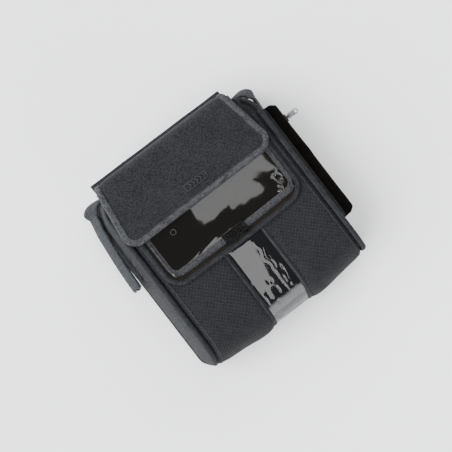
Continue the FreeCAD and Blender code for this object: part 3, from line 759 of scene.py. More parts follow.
# Hook tips: the tape's own black plastic, lightened and speckled as painted glints, beside their real
# gloss.
HOOK_TIPS = moulded("hook_tips", (0.0090, 0.0085, 0.0078), 0.4, wear_and_glints=6.0, gleam=0.4, patch=2.2)
BOARD = moulded("board", (0.02, 0.02, 0.02), 0.6)
LINING = fabric("lining", (0.0026, 0.0020, 0.0015), 0.5, 0.06, uv=False, contrast=0.2, rough=0.6,
                sheen=0.0, patch=9.0, heather=0.1)
GRIP = fabric("base_grip", (0.008, 0.008, 0.009), 3.0, 0.8, contrast=0.5, rough=0.9, sheen=0.03)
WEBBING = ribbed("webbing", (0.0044, 0.0049, 0.0058), 2.8, 1.2, sheen=0.05, contrast=2.0)
ZIP_TAPE = ribbed("zip_tape", (0.0024, 0.0023, 0.0023), 0.8, 0.12, sheen=0.0)
COIL = moulded("zip_coil", (0.0026, 0.0026, 0.0028), 0.4)
STUD = moulded("stud_metal", (0.06, 0.06, 0.06), 0.35, metallic=0.8)
BADGE = moulded("badge_rubber", (0.0027, 0.0027, 0.0031), 0.7, grain=0.5, gleam=0.2)
BADGE_RIM = moulded("badge_relief", (0.0130, 0.0130, 0.0145), 0.6, grain=0.5, gleam=0.4)
SLIDER = moulded("slider_metal", (0.0025, 0.0025, 0.0028), 0.4, metallic=0.2)
PULL = moulded("pull_metal", (0.42, 0.43, 0.45), 0.28, metallic=1.0, wear_and_glints=1.2)
THREAD = moulded("thread", (0.0020, 0.0020, 0.0022), 0.7, grain=0.3, gleam=0.1)
THREAD_PALE = moulded("pale_thread", (0.035, 0.035, 0.036), 0.7, grain=0.3)


def finish_piece(piece, material, body=None, replaces=()):
    """Material, replaced CAD nodes and, if one is given, the body it rides on."""
    if not piece.data.materials:
        piece.data.materials.append(material)
    if replaces:
        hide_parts(*replaces)
    if body:
        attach(piece, body)
    return piece


# ---------------------------------------------------------------- front panels

def front_point(side, x, w):
    """Point of a front panel: x from the middle in the front's own width, w down the front."""
    y, z = rolled(w)
    grown = wall_x(z) - FRONT_HALF
    real_x = x + grown * max(0.0, (x - PANEL_START) / (FRONT_HALF - PANEL_START))
    lift = -SEAM_DEPTH * (1 - hump(FRONT_HALF - GROOVE - x, 4.0))
    if w > 0:
        outer, inner = hump(FRONT_HALF - GROOVE - x, 18.0), hump(x - PANEL_START, 14.0)
        free = outer * inner * smooth_step(w, 26.0, 55.0) * hump(ROLL_END - w, 30.0)
        waves = 0.9 * ripple(x * side, w, 42.0, 3.0 + side) + 0.4 * ripple(x * side, w, 15.0, 9.0)
        lift += (PANEL_SWELL + waves) * free - 0.8 * (1 - hump(x - PANEL_START, 4.0))
    y, z = rolled(w, lift)
    x, y, z = foot_round(corner_in_plan(real_x, y, z))
    return (side * x, y, z)


def corner_in_plan(x, y, z):
    """Pulls a point in to the rounded upper corner of the bag, seen in plan."""
    centre = (wall_x(z) - CORNER, TOP_FACE - CORNER)
    if x <= centre[0] or y <= centre[1]:
        return (x, y, z)
    return (*round_square((x, y), centre), z)


def make_front(side, label):
    """Front panel of one side, from the strip to the piping, with the arm beside the opening."""
    xs = runs((0.0, PANEL_START, 5.0), (PANEL_START, OPENING_HALF, 3.0), (OPENING_HALF, FRONT_HALF, 2.4))
    ws = runs((-TOP_FACE, -OPENING_TOP, 3.0), (-OPENING_TOP, 0.0, 4.0), (0.0, ROLL_END, 3.0))

    def keep(x, w):
        in_strip = x < PANEL_START and w > 0
        in_opening = x < OPENING_HALF and -OPENING_TOP < w < 0
        return not in_strip and not in_opening

    order = ws[::-1] if side > 0 else ws
    piece = make_sheet(f"front_{label}", lambda x, w: front_point(side, x, w), xs, order, keep)
    inflate(piece, pressure=2.0, cap=1.6, pin_where=lambda point: point.y > -34.0)
    thicken(piece, PANEL_CLOTH)
    finish_piece(piece, SHELL, "bag", [f"front_panel_{label}"])


def edge_path(side, out, low_end):
    """Points along the front's outer edge, from the corner over the roll to the foot."""
    points = []
    for w in steps(CORNER - TOP_FACE, ROLL_END - low_end, 2.5):
        y, z = rolled(w, out * 0.7)
        x, y, z = foot_round((wall_x(z), y, z))
        points.append(Vector((side * (x + out * 0.7), y, z)))
    return points


def make_pipings(side, label):
    """Round piping along the front's edge, and the row of stitches beside it."""
    path = edge_path(side, -1.2, 5.0)
    cord = make_band(f"edge_cord_{label}", path, [(side, 0, -0.25)] * len(path), *PIPING, power=2.0)
    finish_piece(cord, BINDING, "bag", [f"front_piping_{label}"])
    seam, lifted = [], []
    middle = FRONT_HALF - GROOVE - 5.0
    for w in steps(CORNER - TOP_FACE, ROLL_END - 8.0, 2.5):
        point = Vector(front_point(side, middle, w))
        ahead = Vector(front_point(side, middle, w + 1.0))
        across = Vector(front_point(side, middle + 1.0, w)) - point
        normal = (ahead - point).cross(across).normalized() * side
        seam.append(point + normal * 0.25)
        lifted.append(normal)
    stitches = make_stitches(f"edge_stitches_{label}", seam, lifted, EDGE_STITCH)
    finish_piece(stitches, THREAD_PALE, "bag")


for sign, label in ((-1, "left"), (1, "right")):
    make_front(sign, label)
    make_pipings(sign, label)


def make_opening_binding():
    """Tape round the edge of the front opening."""
    turn = 6.0
    plan = ([(0.0, 0.5), (OPENING_HALF - turn, 0.5)]
            + rounded_box(-OPENING_HALF, OPENING_HALF, 0.0, OPENING_TOP, turn, 5) + [(0.0, 0.5)])
    path = filled_in([Vector((x, y, FRONT - 1.3)) for x, y in plan], 4)
    tape = make_band("opening_tape", path, crosswise(path, 1), *OPENING_BAND)
    finish_piece(tape, BINDING, "bag", ["opening_facing"])


make_opening_binding()


# ---------------------------------------------------------------- clear strip

# How far the clear strip reaches under its bindings and under the window flap.
STRIP_HEM = 1.5
STRIP_TUCK = 2.0
CREASES = 4


def strip_lift(x, w):
    """Shape of the clear strip: a slow twist, a few sharp creases on the right, dents on the roll."""
    edge = hump(STRIP_HALF - abs(x), 6.0)
    twist = 0.0002 * x * (67.0 - w)
    lift = 0.5 * edge + twist + 0.025 * ripple(x * 0.5, w * 0.5, 16.0, 2.0) * edge
    for number in range(CREASES):
        wander = 9.0 + 3.0 * number + 3.5 * ripple(w, number, 11.0, 5.0 + number)
        start = 30.0 + 14.0 * number
        here = smooth_step(w, start, start + 10.0) * smooth_step(118.0 - w, 0.0, 20.0)
        lift += 0.22 * here * edge * math.exp(-((x - wander) / 0.9) ** 2)
    low = smooth_step(w, 84.0, 108.0)
    lift += 0.10 * low * ripple(x, w, 9.0, 8.0) * edge
    dents = max(0.0, ripple(x * 1.3, w * 0.8, 8.0, 21.0) - 0.30)
    return lift - 1.2 * dents * edge * smooth_step(w, 66.0, 84.0)


def make_strip():
    """Clear strip down the middle, its two bindings and their stitches."""
    half = STRIP_HALF + STRIP_HEM
    xs = steps(-half, half, 1.3)
    ws = steps(-STRIP_TUCK, ROLL_END, 1.6)

    def place(x, w):
        y, z = rolled(w, strip_lift(x, w) * smooth_step(w, 12.0, 40.0) - 0.9)
        return (x, y, z)

    strip = make_sheet("clear_strip", place, xs, ws[::-1])
    thicken(strip, 0.6)
    finish_piece(strip, STRIP_VINYL, "bag", ["window_strip"])

    for side, label in ((-1, "left"), (1, "right")):
        path, seam, normals = [], [], []
        for w in steps(0.0, ROLL_END - 1.0, 2.5):
            proud = smooth_step(w, 28.0, 44.0)
            y, z = rolled(w, -1.3 + 1.0 * proud)
            path.append(Vector((side * (STRIP_HALF + 2.0), y, z)))
            y, z = rolled(w, -0.1 + 1.1 * proud)
            seam.append(Vector((side * (STRIP_HALF + 1.1), y, z)))
            y, z = rolled(w, 1.0)
            normals.append(Vector((0, y, z)) - Vector((0, *rolled(w))))
        tape = make_band(f"strip_edge_{label}", path, [(1, 0, 0)] * len(path), *STRIP_BAND)
        finish_piece(tape, BINDING, "bag", [f"strip_binding_{label}"])
        thread = THREAD_PALE if side > 0 else THREAD
        stitches = make_stitches(f"strip_stitches_{label}", seam, normals, STRIP_STITCH)
        finish_piece(stitches, thread, "bag")


make_strip()


# ---------------------------------------------------------------- walls and base

def wall_low(z):
    """Y of the side walls' lower end at a height: the outline of the roll."""
    rise = z - (FRONT - ROLL)
    return BOTTOM if rise <= 0 else ROLL_START - math.sqrt(max(ROLL ** 2 - rise ** 2, 0.0))


def along_band(s):
    """Side of the bag (1 right, -1 left) and the place on that side, 0-2.5, of the band's point s."""
    return (1, s) if s <= 2.5 else (-1, 5 - s)


def gusset_point(s, z):
    """Point of the band round the bag.

    s runs up the right wall (0-1), round its corner (1-2), along the top (2-3), round the left
    corner (3-4) and down the left wall (4-5).
    """
    side, t = along_band(s)
    centre_x, centre_y = wall_x(z) - CORNER, TOP_FACE - CORNER
    swell = hump(z - BASE_TOP, 16.0) * hump(FRONT - z, 9.0)
    out = 1.7 * swell + 0.9 * swell * ripple(t * 60 * side, z, 30.0, 14.0)
    out += 0.5 * swell * ripple(t * 90 * side, z, 12.0, 17.0)
    out -= 1.2 * (1 - hump(FRONT - z, 5.0))
    # The top wall stays flatter, clear of the flaps that fold down behind it.
    out *= 1 - 0.7 * smooth_step(t, 1.4, 2.0)
    if t <= 1:
        low = wall_low(z)
        x, y, z = foot_round((wall_x(z), low + (centre_y - low) * t, z))
        return (side * (x + out * hump(t, 0.12)), y, z)
    if t <= 2:
        angle = (t - 1) * math.pi / 2
        reach = CORNER + out
        return (side * (centre_x + reach * math.cos(angle)), centre_y + reach * math.sin(angle), z)
    return (side * centre_x * (1 - (t - 2) * 2), TOP_FACE + out, z)


def gusset_lay(s, z):
    """UV of the band, in millimetres along it and up it."""
    side, t = along_band(s)
    arc = CORNER * math.pi / 2
    if t <= 1:
        low = wall_low(z)
        along = TOP_FACE - CORNER - (low + (TOP_FACE - CORNER - low) * t) + arc + FRONT_HALF
    elif t <= 2:
        along = (2 - t) * arc + FRONT_HALF
    else:
        along = FRONT_HALF * (1 - (t - 2) * 2)
    return (side * along, z)


def make_gusset():
    """Walls round the bag in one padded band, open towards the front's roll."""
    ss = runs((0.0, 1.0, 1 / 66), (1.0, 2.0, 1 / 12), (2.0, 3.0, 1 / 50), (3.0, 4.0, 1 / 12),
              (4.0, 5.0, 1 / 66))
    zs = steps(1.2, FRONT - 0.8, 3.2)
    band = make_sheet("gusset", gusset_point, ss, zs[::-1], lay=gusset_lay)
    inflate(band, pressure=2.0, cap=1.4,
            pin_where=lambda point: point.z < 5.0 or point.z > FRONT - 4.0)
    thicken(band, PANEL_CLOTH)
    finish_piece(band, SHELL, "bag",
                 ["left_wall", "right_wall", "corner_left", "corner_right", "top_wall"])


make_gusset()


BASE_CORD_HEIGHT = 2.6


def base_point(x, y, z):
    """Point of the base, its corners rounded like the walls above them."""
    side = 1 if x >= 0 else -1
    x, y, z = corner_in_plan(abs(x), y, z)
    x, y, z = foot_round((x, y, z))
    return (side * x, y, z)


def make_base():
    """Base cloth and the cord round its edge."""
    half = wall_x(0.0) - 0.5
    xs = steps(-half, half, 5.0)
    ys = steps(BOTTOM + 0.5, TOP_FACE - 0.5, 5.0)

    def place(x, y):
        middle = hump(half - abs(x), 30.0) * hump(min(y - BOTTOM, TOP_FACE - y), 30.0)
        x, y, z = base_point(x, y, 0.25 + 0.5 * middle * (1 + ripple(x, y, 50.0, 31.0)))
        return (x, y, z)

    cloth = make_sheet("base_cloth", place, xs, ys[::-1])
    thicken(cloth, PANEL_CLOTH)
    finish_piece(cloth, GRIP, "bag", ["base_panel"])

    low, high = BOTTOM + 0.3, TOP_FACE - 0.3
    turns = [(0.0, high), (half, high), (half, low), (-half, low), (-half, high), (0.0, high)]
    path = []
    for before, after in zip(turns, turns[1:]):
        for share in steps(0.0, 1.0, 3.0 / math.dist(before, after))[:-1]:
            x, y = Vector(before).lerp(Vector(after), share)
            path.append(Vector(base_point(x, y, BASE_CORD_HEIGHT)))
    path.append(path[0].copy())
    cord = make_band("base_cord", path, [(0, 0, 1)] * len(path), *BASE_CORD, power=2.0)
    finish_piece(cord, BINDING, "bag", ["base_piping"])


make_base()


# ---------------------------------------------------------------- window flap

WINDOW_LOW, WINDOW_HIGH = box_mm("window_binding")
PANE_LOW, PANE_HIGH = box_mm("window_pane")
BACKING_LOW = corner_mm("window_backing", 0)
WINDOW_TAPE = 5.6
WINDOW_CORNER = 22.0
PANE_HEM = 4.0
PANE_CORNER = 7.0

# The mesh band's greatest width at the sides and at the foot, and its cells across.
MESH_SIDE, MESH_FOOT = 5.8, 8.6
MESH_ROWS = 6

HOOK_RIM = 2.4
HOOK_CORNER = 1.5
STUD_SIDES = 28
STUD_RING = 0.8


def window_warp(point):
    """Lets the window flap's free end sag and curl a little."""
    x, y, z = point
    free = smooth_step(34.0 - y, 0.0, 45.0)
    middle = 1 - (x / (WINDOW_HIGH.x + 4.0)) ** 2
    lift = free * (0.3 + 0.1 * ripple(x, y, 45.0, 40.0) + 0.4 * (x / WINDOW_HIGH.x) ** 4)
    return Vector((x, y - 1.6 * free * middle, z + lift))


def u_outline(inset, radius, top, side=3.0):
    """Open outline of the window flap, inset from its edge: down the right, along, up the left."""
    left, right, bottom = WINDOW_LOW.x + inset, WINDOW_HIGH.x - inset, WINDOW_LOW.y + inset
    rise = steps(top, bottom + radius, side)
    return ([(right, y) for y in rise[:-1]]
            + corner_arc((right - radius, bottom + radius), radius, 0, -90, 10)
            + [(x, bottom) for x in steps(right - radius, left + radius, side)[1:-1]]
            + corner_arc((left + radius, bottom + radius), radius, -90, -180, 10)
            + [(left, y) for y in rise[::-1][1:]])


def mesh_band_edges():
    """Outer and inner edge of the mesh band, point by point, in plan."""
    inset = WINDOW_TAPE * 0.6
    outer = u_outline(inset, WINDOW_CORNER - inset, WINDOW_HIGH.y)
    corners = ((PANE_HIGH.x - PANE_CORNER, 1), (PANE_LOW.x + PANE_CORNER, -1))
    inner = []
    for x, y in outer:
        x, y = min(max(x, PANE_LOW.x), PANE_HIGH.x), max(y, PANE_LOW.y)
        for centre_x, side in corners:
            if (x - centre_x) * side > 0 and y < PANE_LOW.y + PANE_CORNER:
                x, y = round_square((x, y), (centre_x, PANE_LOW.y + PANE_CORNER))
        inner.append((x, y))
    for index, (a, b) in enumerate(zip(outer, inner)):
        wide = MESH_SIDE if abs(a[1] - b[1]) < abs(a[0] - b[0]) else MESH_FOOT
        share = min(wide / max(math.dist(a, b), 0.1), 1.0)
        outer[index] = (b[0] + (a[0] - b[0]) * share, b[1] + (a[1] - b[1]) * share)
    return outer, inner


def make_window_frame():
    """Mesh band round the pane, the binding round it and both rows of stitches."""
    middle_z = (PANE_LOW.z + PANE_HIGH.z) / 2 - 0.2
    outer, inner = mesh_band_edges()

    def spot(index, share):
        a, b = outer[int(index)], inner[int(index)]
        return (a[0] + (b[0] - a[0]) * share, a[1] + (b[1] - a[1]) * share)

    def place(index, share):
        x, y = spot(index, share)
        puff = 0.4 * math.sin(share * math.pi) + 0.25 * ripple(x, y, 7.0, 44.0)
        return window_warp((x, y, middle_z + 0.9 + puff * smooth_step(36.0 - y, 0.0, 8.0)))

    band = make_sheet("window_mesh", place, list(range(len(outer))),
                      [step / MESH_ROWS for step in range(MESH_ROWS + 1)], lay=spot)
    thicken(band, 0.8)
    finish_piece(band, MESH, "window_flap", ["window_frame"])

    half = WINDOW_TAPE / 2
    plan = u_outline(half, WINDOW_CORNER - half, WINDOW_HIGH.y)
    path = [window_warp((x, y, (WINDOW_LOW.z + WINDOW_HIGH.z) / 2)) for x, y in plan]
    tape = make_band("window_edge", path, crosswise(path, -1), half, WINDOW_HIGH.z - WINDOW_LOW.z)
    finish_piece(tape, BINDING, "window_flap", ["window_binding"])

    rows = []
    for inset, radius, lift in ((WINDOW_TAPE - 1.2, 17.0, 0.6), (WINDOW_TAPE + 5.5, 9.5, 1.2)):
        plan = u_outline(inset, radius, 36.0, side=2.0)
        rows.append([window_warp((x, y, middle_z + 0.5 + lift)) for x, y in plan])
    stitches = stitch_rows("window_stitches", rows, (0, 0, 1), EDGE_STITCH)
    finish_piece(stitches, THREAD, "window_flap")


def pane_lift(x, y):
    """Creases of the pane: long and shallow, tight ones in the lower right corner."""
    lift = 0.06 * ripple(x, y, 30.0, 51.0) + 0.012 * ripple(x, y, 11.0, 52.0)
    corner = smooth_step(x, 64.0, 76.0) * smooth_step(14.0 - y, 0.0, 14.0)
    lift += 1.0 * corner * ripple(x, y * 0.6, 6.5, 54.0)
    for number in range(3):
        along = x * 0.97 + y * 0.25
        wander = 1.0 - 4.5 * number + 3.0 * ripple(along, number, 24.0, 57.0)
        here = smooth_step(along, -64.0, -52.0) * smooth_step(-along, 16.0, 30.0)
        lift += 0.035 * here * math.exp(-((y - x * 0.25 - 10.0 - wander) / 1.2) ** 2)
    return lift


def in_window(x, y, inset):
    """Whether a point lies within the window flap's rounded outline, inset from its edge."""
    radius = WINDOW_CORNER - inset
    centre_x = WINDOW_HIGH.x - inset - radius if x > 0 else -(WINDOW_LOW.x + inset + radius)
    dx, dy = abs(x) - centre_x, WINDOW_LOW.y + inset + radius - y
    if dx > 0 and dy > 0:
        return math.hypot(dx, dy) <= radius
    return dx <= radius and dy <= radius


def make_pane():
    """Clear pane and the creased dark film behind it."""
    hidden = WINDOW_TAPE * 0.55
    xs = steps(PANE_LOW.x - PANE_HEM, PANE_HIGH.x + PANE_HEM, 1.7)
    ys = steps(PANE_LOW.y - PANE_HEM, PANE_HIGH.y, 1.7)
    film_xs = steps(WINDOW_LOW.x + hidden, WINDOW_HIGH.x - hidden, 1.7)
    film_ys = steps(WINDOW_LOW.y + hidden, HINGE.y - 8.0, 2.0)
    middle = (PANE_LOW.z + PANE_HIGH.z) / 2

    def place(x, y):
        calm = 0.25 + 0.75 * smooth_step(40.0 - y, 0.0, 14.0)
        return window_warp((x, y, middle + 0.1 + pane_lift(x, y) * calm))

    pane = make_sheet("map_pane", place, xs, ys)
    thicken(pane, 0.4)
    finish_piece(pane, PANE_VINYL, "window_flap", ["window_pane"])

    def film(x, y):
        lift = 0.25 * ripple(x, y, 14.0, 61.0) + 0.12 * ripple(x * 0.5, y, 6.0, 62.0)
        return window_warp((x, y, BACKING_LOW.z + 0.45 + lift))

    backing = make_sheet("map_backing", film, film_xs, film_ys, lambda x, y: in_window(x, y, hidden))
    thicken(backing, 0.35)
    finish_piece(backing, LINING, "window_flap", ["window_backing"])


def make_hook_patch():
    """Patch of hook tape with its hooks and the stitches round it."""
    low, high = box_mm("hook_patch")
    flat = Vector(((low.x + high.x) / 2, (low.y + high.y) / 2, low.z))
    middle = window_warp(flat)
    shift = middle - flat
    face = middle.z + 1.3
    outline = rounded_box(low.x + shift.x, high.x + shift.x, low.y + shift.y, high.y + shift.y,
                          HOOK_CORNER, 4)
    slab = make_slab("hook_base", outline, middle.z - 1.0, face, 0.25)
    chance = random.Random(7)
    hooks = []
    for x in steps(low.x + HOOK_RIM, high.x - HOOK_RIM, 1.6):
        for y in steps(low.y + HOOK_RIM, high.y - HOOK_RIM, 1.5):
            lean_x, lean_y = chance.uniform(-0.35, 0.35), chance.uniform(-0.35, 0.35)
            foot = Vector((x + shift.x, y + shift.y, face - 0.1))
            hooks.append((foot, foot + Vector((lean_x, lean_y, chance.uniform(0.5, 1.0)))))
    slab.data.materials.append(HOOKS)
    tips = make_rods("hooks", hooks, 0.36, 6)
    tips.data.materials.append(HOOK_TIPS)
    patch = join("hook_tape", [slab, tips])
    finish_piece(patch, HOOKS, "window_flap", ["hook_patch"])
    edge = [Vector((x, y, face + 0.05)) for x, y in outline + outline[:1]]
    centre = Vector((middle.x, middle.y, face + 0.05))
    inside = [point.lerp(centre, 0.07) for point in edge]
    stitches = make_stitches("hook_stitches", inside, [(0, 0, 1)] * len(inside), HOOK_STITCH)
    finish_piece(stitches, THREAD_PALE, "window_flap")


def make_stud():
    """Ring of the snap stud, raised round its recess, which is painted nearly black as shade."""
    low, high = box_mm("press_stud")
    radius = (high.x - low.x) / 2
    base = high.z + 0.15
    middle = Vector(((low.x + high.x) / 2, (low.y + high.y) / 2, base))
    turns = [Vector((x, y, 0)) for x, y in corner_arc((0, 0), 1, 0, 360, STUD_SIDES)]
    ring_path = [middle + turn * (radius - STUD_RING) for turn in turns]
    ring = make_band("ring", ring_path, turns, STUD_RING, 1.0, ends=False)
    ring.data.materials.append(STUD)
    outline = [(middle + turn * (radius - 1.4)).xy for turn in turns[:-1]]
    # The recess is nearly black: painted shade in the stud's hollow.
    recess = make_slab("recess", outline, base - 0.5, base - 0.15, 0.1)
    recess.data.materials.append(HOOKS)
    stud = join("snap_stud", [ring, recess])
    finish_piece(stud, STUD, "window_flap", ["press_stud"])


def make_window_fold():
    """Tape that carries the window flap round its hinge."""
    reach = (WINDOW_LOW.z + WINDOW_HIGH.z) / 2 - HINGE.z
    line = [(TOP_FACE + 1.0, HINGE.z - 13.0), (TOP_FACE + 2.6, HINGE.z - 6.0)]
    line += corner_arc((HINGE.y, HINGE.z), reach, -10, 90, 6)
    line += [(TOP_FACE - 5.0, HINGE.z + reach), (TOP_FACE - 12.0, HINGE.z + reach)]
    path = smooth_path([(0, y, z) for y, z in line], 1.5)
    along = distances(path)

    def place(x, index):
        point = path[int(index)]
        return (x, point.y, point.z)

    tape = make_sheet("window_fold", place, steps(WINDOW_LOW.x + 5, WINDOW_HIGH.x - 5, 4.0),
                      list(range(len(path))), lay=lambda x, index: (along[int(index)], x))
    thicken(tape, 1.0, offset=0.0)
    finish_piece(tape, BINDING, None, ["window_hinge_tape"])
    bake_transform(tape)


make_window_frame()
make_pane()
make_hook_patch()
make_stud()
make_window_fold()


# ---------------------------------------------------------------- main flap

# The distance q runs from the flap's free edge: PLATE is where it reaches the fold and QUARTER how
# far it runs round that. The flap narrows from its free edge until q is FLAP_NARROWEST times PLATE.
# FLAP_INSET is how far the pad stops inside the flap's outline, FLAP_RIM its thickness there.
FLAP_FLOOR = corner_mm("main_flap_lining", 0).z
FLAP_THICK = corner_mm("main_flap_panel", 1).z - FLAP_FLOOR
FLAP_MIDDLE = FLAP_FLOOR + FLAP_THICK / 2
FLAP_REACH = FLAP_MIDDLE - HINGE.z
FLAP_TAPE = 9.0
FLAP_CORNER = 18.0
FLAP_INSET = 4.6
FLAP_RIM = 3.4
FLAP_FREE_LEFT, FLAP_FREE_RIGHT = -114.0, 102.0
FLAP_HINGE_LEFT, FLAP_HINGE_RIGHT = -104.0, 88.0
FREE_LINE = corner_mm("main_flap_binding", 0).y
PLATE = HINGE.y - FREE_LINE
QUARTER = FLAP_REACH * math.pi / 2
FLAP_NARROWEST = 1.25


def flap_side(q, side):
    """X of the flap's left (-1) or right (1) edge at distance q from its free edge."""
    share = min(q / PLATE, FLAP_NARROWEST)
    if side < 0:
        return FLAP_FREE_LEFT + (FLAP_HINGE_LEFT - FLAP_FREE_LEFT) * share
    return FLAP_FREE_RIGHT + (FLAP_HINGE_RIGHT - FLAP_FREE_RIGHT) * share


def flap_line(q):
    """(Y, Z) and normal (Y, Z) of the flap's mid surface at distance q from its free edge."""
    if q <= PLATE:
        return FREE_LINE + q, FLAP_MIDDLE, 0.0, 1.0
    angle = math.pi / 2 - (q - PLATE) / FLAP_REACH
    c, s = math.cos(angle), math.sin(angle)
    return HINGE.y + FLAP_REACH * c, HINGE.z + FLAP_REACH * s, c, s


def flap_plan(inset, radius, q_end, side=3.0):
    """Open outline of the flap in (x, q), inset from its edge and clockwise from the right hinge."""
    low = inset
    right = [(flap_side(q, 1) - inset, q) for q in steps(q_end, low + radius, side)]
    left = [(flap_side(q, -1) + inset, q) for q in steps(low + radius, q_end, side)]
    right_centre = (flap_side(low + radius, 1) - inset - radius, low + radius)
    left_centre = (flap_side(low + radius, -1) + inset + radius, low + radius)
    return (right[:-1] + corner_arc(right_centre, radius, 0, -90, 10)
            + [(x, low) for x in steps(right_centre[0], left_centre[0], side)[1:-1]]
            + corner_arc(left_centre, radius, -90, -180, 10) + left[1:])


def flap_point(x, q, lift=0.0):
    """Point at (x, q) of the flap, raised from the mid surface by lift."""
    y, z, normal_y, normal_z = flap_line(q)
    wave = 0.5 * ripple(x, q, 60.0, 70.0) * hump(q, 20.0) * smooth_step(PLATE - q, 0.0, 20.0)
    return Vector((x, y + normal_y * lift, z + normal_z * lift + max(wave, -0.1)))


def rim_distance(x, q):
    """Distance of a point of the flap from its nearest free edge."""
    return min(flap_side(q, 1) - x, x - flap_side(q, -1), q)


def make_main_flap():
    """Padded flap from its free edge over the fold, with its binding and stitches."""
    radius = FLAP_CORNER - FLAP_INSET
    us = steps(0.0, 1.0, 1 / 66)
    qs = runs((FLAP_INSET, PLATE, 3.0), (PLATE, PLATE + QUARTER, 1.8))

    def spot(u, q):
        left, right = flap_side(q, -1) + FLAP_INSET, flap_side(q, 1) - FLAP_INSET
        x = left + (right - left) * u
        for edge, side in ((left, -1), (right, 1)):
            centre = (edge - side * radius, FLAP_INSET + radius)
            if (x - centre[0]) * side > 0 and q < centre[1]:
                return round_square((x, q), centre)
        return x, q

    def middle(u, q):
        x, q = spot(u, q)
        _, _, normal_y, normal_z = flap_line(q)
        return flap_point(x, q), (0, normal_y, normal_z)

    def thick(u, q):
        x, q = spot(u, q)
        return FLAP_RIM + (FLAP_THICK - FLAP_RIM) * hump(rim_distance(x, q) - 7.5, 12.0)

    pad = make_pad("flap_pad", middle, us, qs, thick, lay=spot)

    def sewn(point):
        near_rim = rim_distance(point.x, point.y - FREE_LINE) < 9.5
        return near_rim or point.y > TOP_FACE - 12.0 or point.z < FLAP_MIDDLE

    inflate(pad, pressure=2.5, cap=0.9, pin_where=sewn)
    finish_piece(pad, FLAP, None,
                 ["main_flap_panel", "main_flap_foam", "main_flap_lining"])
    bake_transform(pad)

    half = FLAP_TAPE / 2
    plan = flap_plan(half, FLAP_CORNER - half, PLATE + QUARTER)
    path = [flap_point(x, q) for x, q in plan]
    across = [Vector((0, *flap_line(q)[2:])).cross(along) for (_, q), along in zip(plan, tangents(path))]
    tape = make_band("flap_edge", path, across, half, 5.4)
    finish_piece(tape, FLAP_EDGE, None, ["main_flap_binding"])
    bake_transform(tape)

    plan = flap_plan(FLAP_TAPE - 1.4, FLAP_CORNER - FLAP_TAPE + 1.4, PLATE + QUARTER - 1.0, 2.0)
    path = [flap_point(x, q, 2.25) for x, q in plan]
    normals = [(0, *flap_line(q)[2:]) for _, q in plan]
    stitches = make_stitches("flap_stitches", path, normals, FLAP_STITCH)
    finish_piece(stitches, THREAD, None)
    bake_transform(stitches)
    return pad


def make_flap_fold():
    """End of the flap, tucked under the fold and sewn to the back of the bag."""
    line = corner_arc((HINGE.y, HINGE.z), FLAP_REACH, 0, -60, 6)
    line += [(TOP_FACE + 3.2, HINGE.z - 11.5), (TOP_FACE + 2.5, HINGE.z - 15.0),
             (TOP_FACE + 2.3, HINGE.z - 21.0)]
    path = smooth_path([(0, y, z) for y, z in line], 1.6)
    ahead = [tangent.normalized() for tangent in tangents(path)]
    along = distances(path, PLATE + QUARTER)
    count = len(path)
    left, right = (flap_side(PLATE * FLAP_NARROWEST, side) for side in (-1, 1))
    wide = right - left - 2 * FLAP_INSET

    def middle(u, index):
        point, tangent = path[int(index)], ahead[int(index)]
        x = left + FLAP_INSET + wide * u
        return Vector((x, point.y, point.z)), Vector((0, -tangent.z, tangent.y))

    def thick(u, index):
        x = middle(u, index)[0].x
        thinning = smooth_step(int(index) / (count - 1), 0.25, 0.85)
        full = 2.2 + (FLAP_THICK - 2.2) * (1 - thinning)
        if full <= FLAP_RIM:
            return full
        return FLAP_RIM + (full - FLAP_RIM) * hump(min(right - x, x - left) - 7.5, 12.0)

    def lay(u, index):
        return (middle(u, index)[0].x, along[int(index)])

    fold = make_pad("flap_fold", middle, steps(0.0, 1.0, 1 / 50), list(range(count)), thick, lay=lay)
    finish_piece(fold, FLAP, None)
    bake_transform(fold)

    for label, x in (("left", left + FLAP_TAPE / 2), ("right", right - FLAP_TAPE / 2)):
        edge = [Vector((x, point.y, point.z)) for point in path]
        tape = make_band(f"fold_edge_{label}", edge, [(1, 0, 0)] * count, FLAP_TAPE / 2, 5.2)
        finish_piece(tape, FLAP_EDGE, None)
        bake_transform(tape)

    lip_path = [Vector((x, TOP_FACE + 12.8 + 0.6 * ripple(x, 0, 40.0, 81.0),
                        HINGE.z - 8.5 + 0.8 * ripple(x, 0, 50.0, 82.0)))
                for x in steps(left - 1.0, right + 1.0, 3.0)]
    lip = make_band("fold_lip", lip_path, [(0, 0.92, -0.4)] * len(lip_path), *LIP_BAND)
    finish_piece(lip, BINDING, None)
    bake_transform(lip)


def make_hinge_tape():
    """Tape that holds the flap's end to the back of the bag, with its two rows of stitches."""
    path = [Vector((x, TOP_FACE + 3.9 + 0.2 * ripple(x, 0, 30.0, 80.0), HINGE.z - 19.0))
            for x in steps(FLAP_HINGE_LEFT + 1, FLAP_HINGE_RIGHT - 1, 3.0)]
    tape = make_band("hinge_tape", path, [(0, 0, 1)] * len(path), *HINGE_BAND)
    finish_piece(tape, BINDING, "bag", ["flap_hinge_strip"])
    rows = [[point + Vector((0, 0.75, lift)) for point in path] for lift in (-2.6, 2.6)]
    stitches = stitch_rows("hinge_stitches", rows, (0, 1, 0), EDGE_STITCH)
    finish_piece(stitches, THREAD, "bag")


def top_at(piece, x, y, reach=4.0):
    """Height of a piece's upper side near (x, y), in millimetres."""
    points = np.array([point.co for point in piece.data.vertices]) / MM
    near = points[np.hypot(points[:, 0] - x, points[:, 1] - y) < reach]
    return float(near[:, 2].max())


CHEVRONS = 5


